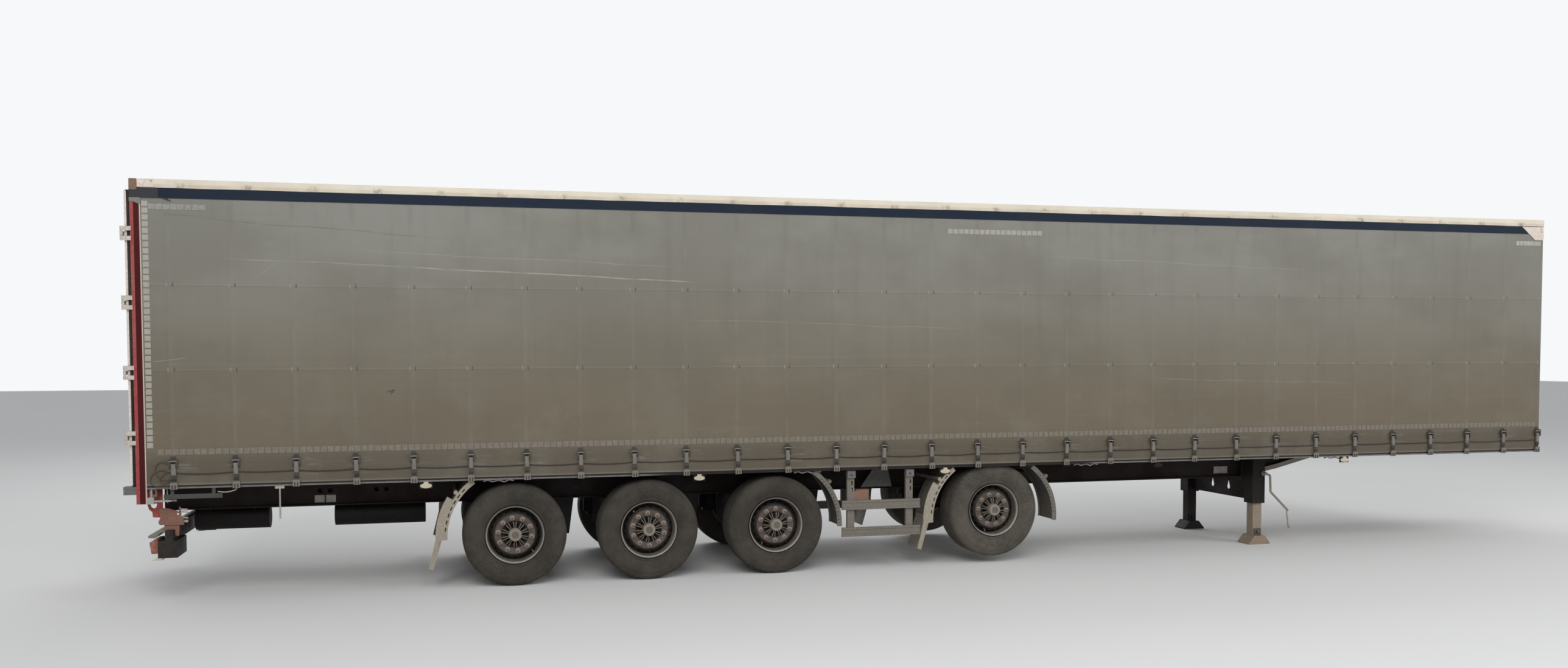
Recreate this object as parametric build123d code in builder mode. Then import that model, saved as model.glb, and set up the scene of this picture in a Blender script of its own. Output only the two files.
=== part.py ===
from build123d import *
import math
import os

os.makedirs("parts", exist_ok=True)

# Four-axle curtain-sided semi trailer, standing uncoupled on its landing legs.
# +X is forward, +Y is left, +Z is up. The origin is on the ground, under the
# middle of the overall box. All sizes are in millimetres.

# Body
body_length = 16060.0
buffer_reach = 110.0
roof_height = 3980.0
floor_top = 1258.0
floor_thickness = 28.0
rail_half_width = 1245.0
post_proud = 10.0
post_depth = 90.0
clearance = 0.3

# Chassis beams
beam_y = 530.0
beam_flange_width = 115.0
beam_flange_thickness = 14.0
beam_web_thickness = 8.0
beam_low = 808.0
neck_low = 1142.0
neck_start_back = 3760.0
neck_end_back = 2310.0
neck_bend = 1200.0
cross_depth = 80.0
cross_first_forward = 350.0
cross_pitch = 660.0
cross_width = 60.0
cross_wall = 6.0

# Side rail under the curtain
rail_low = 1088.0
rail_wall = 6.0
rail_shelf = 22.0

# Roof
sheet_thickness = 4.0
cantrail_width = 70.0
cantrail_height = 135.0
bow_width = 40.0
bow_height = 30.0
bow_pitch = 580.0
roof_hem = 88.0
band_height = 100.0
curtain_low = 1105.0
curtain_thickness = 4.0
band_thickness = 2.5

# Wheels
tyre_radius = 520.0
tyre_width = 380.0
wheel_y = 1020.0
rim_radius = 298.5
rim_width = 330.0
bead_radius = 288.0
disc_face = 120.0
lift_height = 75.0
first_axle = 3457.0
rear_axle_pitch = 1360.0
lift_axle = 8683.0
spindle_radius = 45.0

# Landing legs and kingpin, measured forward from the rear post
leg_back = 3695.0
leg_stand = 20.0
leg_size = 170.0
kingpin_back = 1650.0
kingpin_neck_radius = 25.4
kingpin_head_radius = 35.7
coupler_thickness = 10.0

# Buckles
buckle_first = 322.0
buckle_pitch = 542.0
buckle_last_back = 40.0
buckle_width = 56.0

# Doors
door_thickness = 38.0
door_gap = 12.0
door_low = 1125.0
door_below_roof = 112.0
door_side_gap = 17.0
hinge_back = 72.0
hinge_proud = 7.0
hinge_radius = 13.0
hinge_pin_radius = 7.0
hinge_heights = [1570.0, 2180.0, 2830.0, 3470.0]
hinge_height = 130.0
hinge_gap = 5.0

post_half_width = rail_half_width + post_proud
door_high = roof_height - door_below_roof
door_edge = post_half_width - door_side_gap
hinge_y = post_half_width + hinge_proud
leg_y = beam_y + beam_flange_width / 2 + leg_stand + leg_size / 2
x_rear = -body_length / 2 + buffer_reach / 2
x_front = x_rear + body_length
beam_top = floor_top - floor_thickness
curtain_face = rail_half_width + clearance + curtain_thickness
band_face = curtain_face + band_thickness
hem_face = band_face + clearance + sheet_thickness
sheet_low = roof_height - sheet_thickness
hem_low = roof_height - roof_hem
band_high = hem_low + 20
band_low = hem_low - band_height + 10
cantrail_low = sheet_low - clearance - cantrail_height - 25
cantrail_high = cantrail_low + cantrail_height
floor_rear = x_rear + post_depth
floor_front = x_front - 60
rear_door_face = x_rear - door_gap - door_thickness
hinge_x = x_rear - hinge_back

# Wheel stations: number, distance forward of the rear post, hub height
stations = [
    (1, first_axle, tyre_radius),
    (2, first_axle + rear_axle_pitch, tyre_radius),
    (3, first_axle + 2 * rear_axle_pitch, tyre_radius),
    (4, lift_axle, tyre_radius + lift_height),
]


# Main beams: an upper flange, a web with the gooseneck and a lower flange
beam_rear = x_rear + post_depth
beam_front = x_front - 60
neck_a = x_front - neck_start_back
neck_b = x_front - neck_end_back
neck_path = [(beam_rear, beam_low), (neck_a, beam_low), (neck_b, neck_low), (beam_front, neck_low)]
web_holes = [1540.0, 1640.0, 2090.0, 2190.0]
web_hole_height = 957.0
web_hole_radius = 24.0
with BuildPart() as main_beam_right:
    with BuildSketch(Plane.XZ.offset(beam_y)):
        with BuildLine():
            low_edge = FilletPolyline(*neck_path, radius=neck_bend)
            Polyline(low_edge @ 1, (beam_front, beam_top - beam_flange_thickness),
                     (beam_rear, beam_top - beam_flange_thickness), low_edge @ 0)
        make_face()
        with Locations(*[(x_rear + forward, web_hole_height) for forward in web_holes]):
            Circle(web_hole_radius, mode=Mode.SUBTRACT)
    extrude(amount=beam_web_thickness / 2, both=True)
    with BuildSketch(Plane.XZ.offset(beam_y)):
        with BuildLine():
            low_edge = FilletPolyline(*neck_path, radius=neck_bend)
            high_edge = FilletPolyline(*[(x, z + beam_flange_thickness) for x, z in neck_path],
                                       radius=neck_bend)
            Line(low_edge @ 0, high_edge @ 0)
            Line(low_edge @ 1, high_edge @ 1)
        make_face()
    extrude(amount=beam_flange_width / 2, both=True)
    with Locations(((beam_rear + beam_front) / 2, -beam_y, beam_top)):
        Box(beam_front - beam_rear, beam_flange_width, beam_flange_thickness,
            align=(Align.CENTER, Align.CENTER, Align.MAX))
main_beam_right.part.label = "main_beam_right"
export_step(main_beam_right.part, "parts/main_beam_right.step")

with BuildPart() as main_beam_left:
    mirror(main_beam_right.part, about=Plane.XZ)
main_beam_left.part.label = "main_beam_left"
export_step(main_beam_left.part, "parts/main_beam_left.step")

# Cross members: an angle between the webs and an outrigger on each side
cross_count = int((body_length - 2 * post_depth - cross_first_forward) // cross_pitch) + 1
cross_first = x_rear + cross_first_forward
cross_low = beam_top - cross_depth
flange_reach = beam_flange_width / 2
inner_reach = beam_y - flange_reach
outer_start = beam_y + flange_reach
outer_end = rail_half_width - rail_wall
cross_points = [
    (0, cross_low), (cross_width, cross_low), (cross_width, cross_low + cross_wall),
    (cross_wall, cross_low + cross_wall), (cross_wall, beam_top), (0, beam_top),
]
cross_places = [cross_first + index * cross_pitch for index in range(cross_count)]
with BuildPart() as cross_members:
    for y_from, y_to in [(-outer_end, -outer_start), (-inner_reach, inner_reach),
                         (outer_start, outer_end)]:
        with BuildSketch(Plane.XZ.offset(-y_to)):
            for x in cross_places:
                Polygon(*[(x + px, pz) for px, pz in cross_points], align=None)
        extrude(amount=y_to - y_from)
cross_members.part.label = "cross_members"
export_step(cross_members.part, "parts/cross_members.step")

# Coupler plate under the neck, with the kingpin
coupler_rear = neck_b + 200
coupler_half = 480.0
kingpin_x = x_front - kingpin_back
coupler_top = neck_low
coupler_low = coupler_top - coupler_thickness
with BuildPart() as coupler_plate:
    with BuildSketch(Plane.XY.offset(coupler_low)):
        Polygon(*[
            (coupler_rear, -coupler_half), (x_front - 60, -coupler_half),
            (x_front - 60, coupler_half), (coupler_rear, coupler_half),
        ], align=None)
    extrude(amount=coupler_thickness)
coupler_plate.part.label = "coupler_plate"
export_step(coupler_plate.part, "parts/coupler_plate.step")

with BuildPart() as kingpin:
    with BuildSketch(Plane.XZ):
        Polygon(*[
            (0, coupler_low), (60, coupler_low), (60, coupler_low - 12),
            (kingpin_head_radius, coupler_low - 28), (kingpin_neck_radius, coupler_low - 30),
            (kingpin_neck_radius, coupler_low - 64), (kingpin_head_radius, coupler_low - 66),
            (kingpin_head_radius, coupler_low - 84), (0, coupler_low - 84),
        ], align=None)
    revolve(axis=Axis.Z)
with BuildPart() as kingpin_placed:
    with Locations((kingpin_x, 0, 0)):
        add(kingpin.part)
kingpin_placed.part.label = "kingpin"
export_step(kingpin_placed.part, "parts/kingpin.step")

# Floor
with BuildPart() as floor:
    with Locations(((floor_rear + floor_front) / 2, 0, floor_top)):
        Box(floor_front - floor_rear, 2 * (rail_half_width - rail_wall), floor_thickness,
            align=(Align.CENTER, Align.CENTER, Align.MAX))
floor.part.label = "floor"
export_step(floor.part, "parts/floor.step")

# Side rails: an upright web with a shelf that closes the ends of the outriggers
with BuildPart() as side_rail_right:
    with BuildSketch(Plane.YZ.offset(floor_rear)):
        Polygon(*[
            (-rail_half_width, rail_low), (-rail_half_width + rail_shelf, rail_low),
            (-rail_half_width + rail_shelf, rail_low + rail_wall),
            (-rail_half_width + rail_wall, rail_low + rail_wall),
            (-rail_half_width + rail_wall, floor_top),
            (-rail_half_width, floor_top),
        ], align=None)
    extrude(amount=floor_front - floor_rear)
side_rail_right.part.label = "side_rail_right"
export_step(side_rail_right.part, "parts/side_rail_right.step")

with BuildPart() as side_rail_left:
    mirror(side_rail_right.part, about=Plane.XZ)
side_rail_left.part.label = "side_rail_left"
export_step(side_rail_left.part, "parts/side_rail_left.step")

# Front: two corner posts with a header and a sill, and the headboard between them
front_post_width = 110.0
front_depth = 60.0
with BuildPart() as front_frame:
    with BuildSketch(Plane.YZ.offset(x_front - front_depth)):
        with Locations((0, (neck_low + cantrail_high) / 2)):
            Rectangle(2 * rail_half_width, cantrail_high - neck_low)
        with Locations((0, (floor_top + cantrail_low) / 2)):
            Rectangle(2 * (rail_half_width - front_post_width), cantrail_low - floor_top,
                      mode=Mode.SUBTRACT)
    extrude(amount=front_depth)
front_frame.part.label = "front_frame"
export_step(front_frame.part, "parts/front_frame.step")

headboard_half = rail_half_width - front_post_width
headboard_thickness = 30.0
rib_count = 9
rib_size = (10.0, 60.0)
with BuildPart() as headboard:
    with Locations((x_front - front_depth / 2, 0, (floor_top + cantrail_low) / 2)):
        Box(headboard_thickness, 2 * headboard_half, cantrail_low - floor_top)
    with Locations((x_front - front_depth / 2 + headboard_thickness / 2, 0, floor_top)):
        with GridLocations(1, 2 * headboard_half / rib_count, 1, rib_count):
            Box(*rib_size, cantrail_low - floor_top, align=(Align.MIN, Align.CENTER, Align.MIN))
headboard.part.label = "headboard"
export_step(headboard.part, "parts/headboard.step")

# Rear frame: corner posts that run down past the sill, a header and the hinge lugs
post_low = 950.0
post_high = roof_height - 8
post_width = 90.0
sill_low = 1130.0
header_low = post_high - 172
lug_height = (hinge_height - 2 * hinge_gap) / 3
with BuildPart() as rear_frame:
    for side in (-1, 1):
        with Locations((x_rear, side * (post_half_width - post_width / 2), post_low)):
            Box(post_depth, post_width, post_high - post_low,
                align=(Align.MIN, Align.CENTER, Align.MIN))
    beam_span = 2 * (post_half_width - post_width)
    with Locations((x_rear, 0, header_low)):
        Box(post_depth, beam_span, post_high - header_low,
            align=(Align.MIN, Align.CENTER, Align.MIN))
    with Locations((x_rear, 0, sill_low)):
        Box(post_depth, beam_span, floor_top - sill_low,
            align=(Align.MIN, Align.CENTER, Align.MIN))
    for height in hinge_heights:
        for step in (-1, 1):
            z_mid = height + step * (lug_height + hinge_gap)
            with BuildSketch(Plane.XY.offset(z_mid - lug_height / 2)):
                for side in (-1, 1):
                    with Locations((hinge_x, side * hinge_y)):
                        Circle(hinge_radius)
                    with Locations((hinge_x, side * (hinge_y - 1))):
                        Rectangle(hinge_back + 10, 12, align=(Align.MIN, Align.CENTER))
                    with Locations((hinge_x, side * hinge_y)):
                        Circle(hinge_pin_radius + 2 * clearance, mode=Mode.SUBTRACT)
            extrude(amount=lug_height)
rear_frame.part.label = "rear_frame"
export_step(rear_frame.part, "parts/rear_frame.step")

# Rubber dock buffers behind the feet of the posts
buffer_tall = 75.0
buffer_wide = 110.0
buffer_high = door_low - 10
with BuildPart() as dock_buffers:
    for side in (-1, 1):
        with Locations((x_rear, side * post_half_width, buffer_high)):
            Box(buffer_reach, buffer_wide, buffer_tall,
                align=(Align.MAX, Align.MAX if side > 0 else Align.MIN, Align.MAX))
dock_buffers.part.label = "dock_buffers"
export_step(dock_buffers.part, "parts/dock_buffers.step")

# Curtain tension gear on each rear post: an upright tube, a ratchet and its lever
tube_radius = 13.0
ratchet_low = 947.0
ratchet_high = 1010.0
lever_length = 150.0
gear_y = post_half_width - post_width / 2
with BuildPart() as tension_gear:
    for side in (-1, 1):
        with Locations((x_rear + post_depth, side * gear_y, ratchet_high)):
            Box(55, 74, ratchet_high - ratchet_low, align=(Align.MIN, Align.CENTER, Align.MAX))
        with Locations((x_rear + post_depth + 27, side * gear_y, ratchet_high)):
            Cylinder(tube_radius, rail_low - clearance - ratchet_high,
                     align=(Align.CENTER, Align.CENTER, Align.MIN))
        with Locations((x_rear + post_depth + 55, side * (gear_y + 20), ratchet_low + 26)):
            Box(lever_length, 26, 14, align=(Align.MIN, Align.CENTER, Align.CENTER))
        with Locations((x_rear + post_depth + 4, side * (gear_y - 36), ratchet_high)):
            Box(60, 8, rail_low + 25 - ratchet_high,
                align=(Align.MIN, Align.CENTER, Align.MIN))
tension_gear.part.label = "tension_gear"
export_step(tension_gear.part, "parts/tension_gear.step")

# Fittings that hang from the side rails: a flat bar on two tabs and a rod with a T head
bar_start = 230.0
bar_length = 510.0
bar_low = 990.0
bar_tall = 44.0
bar_thick = 12.0
tab_width = 30.0
rod_forward = 1250.0
rod_low = 770.0
hang_y = rail_half_width - rail_shelf / 2
with BuildPart() as rail_hangers:
    for side in (-1, 1):
        with Locations((x_rear + bar_start, side * hang_y, bar_low)):
            Box(bar_length, bar_thick, bar_tall, align=(Align.MIN, Align.CENTER, Align.MIN))
            for start in (60, bar_length - 90):
                with Locations((start, 0, 0)):
                    Box(tab_width, bar_thick, rail_low - clearance - bar_low,
                        align=(Align.MIN, Align.CENTER, Align.MIN))
        with Locations((x_rear + rod_forward, side * hang_y, rail_low - clearance)):
            Box(84, 16, 26, align=(Align.CENTER, Align.CENTER, Align.MAX))
            Cylinder(8, rail_low - rod_low, align=(Align.CENTER, Align.CENTER, Align.MAX))
rail_hangers.part.label = "rail_hangers"
export_step(rail_hangers.part, "parts/rail_hangers.step")

# Cantrails and roof bows
roof_rear = x_rear + post_depth
roof_front = x_front - front_depth
with BuildPart() as cantrail_right:
    with Locations((roof_rear, -rail_half_width, cantrail_low)):
        Box(roof_front - roof_rear, cantrail_width, cantrail_height,
            align=(Align.MIN, Align.MIN, Align.MIN))
cantrail_right.part.label = "cantrail_right"
export_step(cantrail_right.part, "parts/cantrail_right.step")

with BuildPart() as cantrail_left:
    mirror(cantrail_right.part, about=Plane.XZ)
cantrail_left.part.label = "cantrail_left"
export_step(cantrail_left.part, "parts/cantrail_left.step")

bow_count = int((roof_front - roof_rear - bow_pitch) // bow_pitch) + 1
with BuildPart() as roof_bows:
    for index in range(bow_count):
        with Locations((roof_rear + (index + 0.5) * bow_pitch, 0, cantrail_high)):
            Box(bow_width, 2 * rail_half_width - 2, sheet_low - clearance - cantrail_high,
                align=(Align.CENTER, Align.CENTER, Align.MIN))
roof_bows.part.label = "roof_bows"
export_step(roof_bows.part, "parts/roof_bows.step")

with BuildPart() as roof_sheet:
    with BuildSketch(Plane.YZ.offset(roof_rear + clearance)):
        Polygon(*[
            (-hem_face, roof_height), (-hem_face, hem_low),
            (-hem_face + sheet_thickness, hem_low), (-hem_face + sheet_thickness, sheet_low),
            (hem_face - sheet_thickness, sheet_low), (hem_face - sheet_thickness, hem_low),
            (hem_face, hem_low), (hem_face, roof_height),
        ], align=None)
    extrude(amount=x_front - roof_rear - clearance)
roof_sheet.part.label = "roof_sheet"
export_step(roof_sheet.part, "parts/roof_sheet.step")

# Curtains with the dark band along the top
curtain_rear = x_rear + post_depth + clearance
curtain_front = x_front - 5
with BuildPart() as curtain_right:
    with BuildSketch(Plane.YZ.offset(curtain_rear)):
        Polygon(*[
            (-curtain_face, curtain_low), (-curtain_face + curtain_thickness, curtain_low),
            (-curtain_face + curtain_thickness, band_high), (-band_face, band_high),
            (-band_face, band_low), (-curtain_face, band_low),
        ], align=None)
    extrude(amount=curtain_front - curtain_rear)
curtain_right.part.label = "curtain_right"
export_step(curtain_right.part, "parts/curtain_right.step")

with BuildPart() as curtain_left:
    mirror(curtain_right.part, about=Plane.XZ)
curtain_left.part.label = "curtain_left"
export_step(curtain_left.part, "parts/curtain_left.step")

# Strap buckles hooked under the side rail, and the customs cable through them
cable_radius = 4.0
cable_height = 1230.0
buckle_back = curtain_face + clearance
buckle_points = [
    (buckle_back, 1360), (buckle_back + 18, 1352), (buckle_back + 34, 1300),
    (buckle_back + 30, 1215), (buckle_back + 12, 1165), (buckle_back + 22, 1110),
    (buckle_back + 14, rail_low - 8), (rail_half_width - 4, rail_low - 8),
    (rail_half_width - 4, rail_low - clearance), (buckle_back, rail_low - clearance),
    (buckle_back, 1180), (buckle_back + 12, 1200), (buckle_back + 12, 1260),
    (buckle_back, 1280),
]
buckle_count = int((body_length - buckle_first - buckle_pitch / 2) // buckle_pitch) + 1
buckle_places = [x_rear + buckle_first + index * buckle_pitch for index in range(buckle_count)]
buckle_places.append(x_front - buckle_last_back)
with BuildPart() as buckle:
    with BuildSketch(Plane.YZ.offset(-buckle_width / 2)):
        Polygon(*buckle_points, align=None)
    extrude(amount=buckle_width)
with BuildPart() as buckles_left:
    with Locations(*[(x, 0, 0) for x in buckle_places]):
        add(buckle.part)
buckles_left.part.label = "buckles_left"
export_step(buckles_left.part, "parts/buckles_left.step")

with BuildPart() as buckles_right:
    mirror(buckles_left.part, about=Plane.XZ)
buckles_right.part.label = "buckles_right"
export_step(buckles_right.part, "parts/buckles_right.step")

with BuildPart() as customs_cable:
    for side in (-1, 1):
        with BuildSketch(Plane.YZ.offset(curtain_rear + 60)):
            with Locations((side * (curtain_face + clearance + cable_radius), cable_height)):
                Circle(cable_radius)
        extrude(amount=curtain_front - curtain_rear - 90)
customs_cable.part.label = "customs_cable"
export_step(customs_cable.part, "parts/customs_cable.step")

# Sliding pillars that carry the cantrail
pillar_count = 4
with BuildPart() as pillars:
    for side in (-1, 1):
        for share in range(1, pillar_count + 1):
            x = floor_rear + share * (floor_front - floor_rear) / (pillar_count + 1)
            with Locations((x, side * (rail_half_width - 6 - 30), floor_top)):
                Box(110, 60, cantrail_low - floor_top,
                    align=(Align.CENTER, Align.CENTER, Align.MIN))
pillars.part.label = "pillars"
export_step(pillars.part, "parts/pillars.step")

# Tyre and wheel, made at the origin with the outer face towards -Y
with BuildPart() as tyre_shape:
    with BuildSketch(Plane.XY):
        Polygon(*[
            (bead_radius, -149), (rim_radius + 4, -149), (rim_radius + 100, -tyre_width / 2),
            (tyre_radius - 22, -168), (tyre_radius, -145), (tyre_radius, 145),
            (tyre_radius - 22, 168), (rim_radius + 100, tyre_width / 2),
            (rim_radius + 4, 149), (bead_radius, 149),
        ], align=None)
    revolve(axis=Axis.Y)

hub_radius = 118.0
disc_radius = 222.0
bolt_circle = 167.5
nut_count = 10
drum_radius = 212.0
drum_depth = 110.0
window_circle = 243.0
window_size = (44.0, 24.0)
with BuildPart() as wheel_shape:
    with BuildSketch(Plane.XY):
        Polygon(*[
            (bead_radius - clearance, 150), (bead_radius - clearance, -150),
            (rim_radius, -150), (rim_radius, -rim_width / 2), (rim_radius - 14, -rim_width / 2),
            (266, -66), (disc_radius, -disc_face), (hub_radius, -disc_face),
            (hub_radius - 14, -disc_face - 44), (58, -disc_face - 44),
            (58, -disc_face - 78), (0, -disc_face - 78), (0, -disc_face - 40),
            (spindle_radius + clearance, -disc_face - 40), (spindle_radius + clearance, drum_depth),
            (drum_radius, drum_depth), (drum_radius, -disc_face + 20), (256, -50), (266, 150),
        ], align=None)
    revolve(axis=Axis.Y)
    with BuildSketch(Plane.XZ.offset(disc_face)):
        with PolarLocations(bolt_circle, nut_count):
            RegularPolygon(19, 6)
    extrude(amount=26)
    with BuildSketch(Plane.XZ.offset(disc_face + 10)):
        with PolarLocations(window_circle, nut_count, start_angle=180 / nut_count):
            Rectangle(window_size[1], window_size[0])
    extrude(amount=-disc_face + 30, mode=Mode.SUBTRACT)

for number, forward, height in stations:
    x = x_rear + forward
    for side_name, side in (("right", -1), ("left", 1)):
        with BuildPart() as tyre:
            with Locations((x, side * wheel_y, height)):
                add(tyre_shape.part)
        tyre.part.label = f"tyre_{number}_{side_name}"
        export_step(tyre.part, f"parts/tyre_{number}_{side_name}.step")
        with BuildPart() as wheel:
            with Locations((x, side * wheel_y, height)):
                if side < 0:
                    add(wheel_shape.part)
                else:
                    add(wheel_shape.part, rotation=(0, 0, 180))
        wheel.part.label = f"wheel_{number}_{side_name}"
        export_step(wheel.part, f"parts/wheel_{number}_{side_name}.step")

# Axles: tube, spindles, trailing arms, hangers and air bags
axle_radius = 64.0
arm_y = beam_y
for number, forward, height in stations:
    x = x_rear + forward
    with BuildPart() as axle:
        with Locations((x, 0, height)):
            Cylinder(axle_radius, 2 * (wheel_y - drum_depth - 5), rotation=(90, 0, 0))
            Cylinder(spindle_radius, 2 * (wheel_y + disc_face + 35), rotation=(90, 0, 0))
        for side in (-1, 1):
            with BuildSketch(Plane.XZ.offset(-side * arm_y - 45)):
                Polygon(*[
                    (x + 540, height - 60), (x + 540, height + 20), (x + 60, height + 70),
                    (x - 90, height + 70), (x - 230, height + 10), (x - 470, height + 10),
                    (x - 470, height - 30), (x - 220, height - 40), (x - 90, height - 80),
                    (x + 60, height - 80),
                ], align=None)
            extrude(amount=90)
            with BuildSketch(Plane.XZ.offset(-side * arm_y - 57)):
                Polygon(*[
                    (x + 380, beam_low), (x + 640, beam_low), (x + 590, height - 90),
                    (x + 490, height - 90),
                ], align=None)
            extrude(amount=114)
            with Locations((x - 370, side * arm_y, height + 10)):
                Cylinder(140, beam_low - height - 10,
                         align=(Align.CENTER, Align.CENTER, Align.MIN))
    axle.part.label = f"axle_{number}"
    export_step(axle.part, f"parts/axle_{number}.step")

# Quarter mudguards with side lips, centred on the hub's height when the axle is down
guard_outer = 712.0
guard_wall = 8.0
guard_lip = 52.0
guard_width = 400.0
valance_outer = 775.0
valance_start = -58.0
flap_lean = 70.0
flap_lip = 44.0
stay_radius = 21.0
stay_length = wheel_y + guard_width / 2 - beam_y - beam_web_thickness / 2
# station, distance forward of the hub, start and end angle (degrees from straight up,
# forward positive), flap length
guards = [
    (0, 0, -36, -92, 290),
    (2, 10, 36, 93, 0),
    (3, -75, -37, -93, 290),
    (3, 35, 37, 95, 0),
]


def arc_point(cx, cz, radius, angle):
    return (cx + radius * math.sin(math.radians(angle)),
            cz + radius * math.cos(math.radians(angle)))


with BuildPart() as mudguards_right:
    for place, shift, start, end, flap in guards:
        cx = x_rear + stations[place][1] + shift
        cz = tyre_radius
        # distance from the trailer's middle, width, inner and outer radius, start angle
        lip_y = wheel_y + guard_width / 2 - guard_wall
        low_y = wheel_y - guard_width / 2
        layers = [
            (lip_y, guard_wall, guard_outer - guard_lip, guard_outer, start),
            (low_y, guard_width, guard_outer - guard_wall, guard_outer, start),
            (low_y, guard_wall, guard_outer - guard_lip / 2, guard_outer, start),
        ]
        if flap:
            layers.append(
                (lip_y, guard_wall, guard_outer - guard_wall, valance_outer, valance_start))
        for near, width, inner, outer, first in layers:
            mid = (first + end) / 2
            with BuildSketch(Plane.XZ.offset(near)):
                with BuildLine():
                    a = ThreePointArc(arc_point(cx, cz, inner, first),
                                      arc_point(cx, cz, inner, mid), arc_point(cx, cz, inner, end))
                    b = ThreePointArc(arc_point(cx, cz, outer, first),
                                      arc_point(cx, cz, outer, mid),
                                      arc_point(cx, cz, outer, end))
                    Line(a @ 0, b @ 0)
                    Line(a @ 1, b @ 1)
                make_face()
            extrude(amount=width)
        stay_x, stay_z = arc_point(cx, cz, guard_outer + stay_radius - 3,
                                   start + math.copysign(16, end))
        with Locations((stay_x, -beam_y - beam_web_thickness / 2, stay_z)):
            Cylinder(stay_radius, stay_length, rotation=(90, 0, 0),
                     align=(Align.CENTER, Align.CENTER, Align.MIN))
        if flap:
            fx, fz = arc_point(cx, cz, valance_outer, end)
            sx, sz = arc_point(cx, cz, guard_outer, end)
            flap_x = fx + flap_lip - flap_lean
            flap_z = fz - flap
            flap_points = [(sx - 6, sz + 30), (sx + 6, sz + 30), (flap_x, flap_z),
                           (flap_x - guard_wall, flap_z)]
            edge_points = [(fx, fz + 8), (fx + flap_lip, fz + 8), (flap_x, flap_z),
                           (fx - flap_lean, flap_z + 14)]
            for near, width, points in [(low_y, guard_width, flap_points),
                                        (lip_y, guard_wall, edge_points)]:
                with BuildSketch(Plane.XZ.offset(near)):
                    Polygon(*points, align=None)
                extrude(amount=width)
mudguards_right.part.label = "mudguards_right"
export_step(mudguards_right.part, "parts/mudguards_right.step")

with BuildPart() as mudguards_left:
    mirror(mudguards_right.part, about=Plane.XZ)
mudguards_left.part.label = "mudguards_left"
export_step(mudguards_left.part, "parts/mudguards_left.step")

# Side guard ahead of the three rear axles: two rails on two slotted posts
guard_ahead = 725.0
guard_length = 890.0
guard_rear = x_rear + stations[2][1] + guard_ahead
guard_rail_heights = [414.0, 706.0]
guard_rail_tall = 100.0
guard_rail_deep = 28.0
guard_lips = 14.0
guard_face = rail_half_width - 20
guard_posts = [105.0, 775.0]
guard_post_width = 80.0
guard_post_deep = 40.0
guard_post_low = 370.0
slot_size = (16.0, 44.0)
slot_pitch = 74.0
with BuildPart() as side_guard_right:
    for height in guard_rail_heights:
        with BuildSketch(Plane.YZ.offset(guard_rear)):
            with Locations((-guard_face + guard_rail_deep / 2, height)):
                Rectangle(guard_rail_deep, guard_rail_tall)
            with Locations((-guard_face, height)):
                Rectangle(12, guard_rail_tall - 2 * guard_lips - 20, mode=Mode.SUBTRACT)
        extrude(amount=guard_length)
    for forward in guard_posts:
        with Locations((guard_rear + forward, -guard_face + guard_rail_deep, guard_post_low)):
            Box(guard_post_width, guard_post_deep, cross_low - guard_post_low,
                align=(Align.CENTER, Align.MIN, Align.MIN))
        with BuildSketch(Plane.XZ.offset(guard_face)):
            with Locations((guard_rear + forward + 14, cross_low - 170)):
                with GridLocations(1, slot_pitch, 1, 4):
                    Rectangle(*slot_size)
        extrude(amount=-guard_rail_deep - guard_post_deep, mode=Mode.SUBTRACT)
side_guard_right.part.label = "side_guard_right"
export_step(side_guard_right.part, "parts/side_guard_right.step")

with BuildPart() as side_guard_left:
    mirror(side_guard_right.part, about=Plane.XZ)
side_guard_left.part.label = "side_guard_left"
export_step(side_guard_left.part, "parts/side_guard_left.step")

# Control box on the rear post of the right side guard
box_size = (140.0, 70.0, 125.0)
box_low = 745.0
with BuildPart() as control_box:
    box_x = guard_rear + guard_posts[0] + guard_post_width / 2
    with Locations((box_x, -guard_face + guard_rail_deep, guard_rail_heights[1])):
        Box(24, guard_post_deep, 150, align=(Align.MIN, Align.MIN, Align.MIN))
    with Locations((box_x + 24, -guard_face + guard_rail_deep, box_low)):
        Box(*box_size, align=(Align.MIN, Align.MIN, Align.MIN))
control_box.part.label = "control_box"
export_step(control_box.part, "parts/control_box.step")

# Landing legs, extended to the ground, with flared shoes
leg_x = x_front - leg_back
leg_top = 1060.0
leg_split = 500.0
leg_inner_size = 120.0
shoe_size = 290.0
shoe_high = 105.0
with BuildPart() as leg_shape:
    with Locations((leg_x, -leg_y, leg_split)):
        Box(leg_size, leg_size, leg_top - leg_split,
            align=(Align.CENTER, Align.CENTER, Align.MIN))
    with Locations((leg_x, -leg_y, shoe_high - 20)):
        Box(leg_inner_size, leg_inner_size, leg_split - shoe_high + 20,
            align=(Align.CENTER, Align.CENTER, Align.MIN))
    with BuildSketch(Plane.XZ.offset(leg_y - shoe_size / 2 + 30)):
        Polygon(*[
            (leg_x - shoe_size / 2, 0), (leg_x + shoe_size / 2, 0), (leg_x + shoe_size / 2, 14),
            (leg_x + 70, shoe_high), (leg_x - 70, shoe_high), (leg_x - shoe_size / 2, 14),
        ], align=None)
    extrude(amount=shoe_size - 60)
    with Locations((leg_x, -(beam_y + beam_flange_width / 2), leg_top - 20)):
        Box(260, leg_stand, leg_top - 20 - beam_low, align=(Align.CENTER, Align.MAX, Align.MAX))

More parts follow.
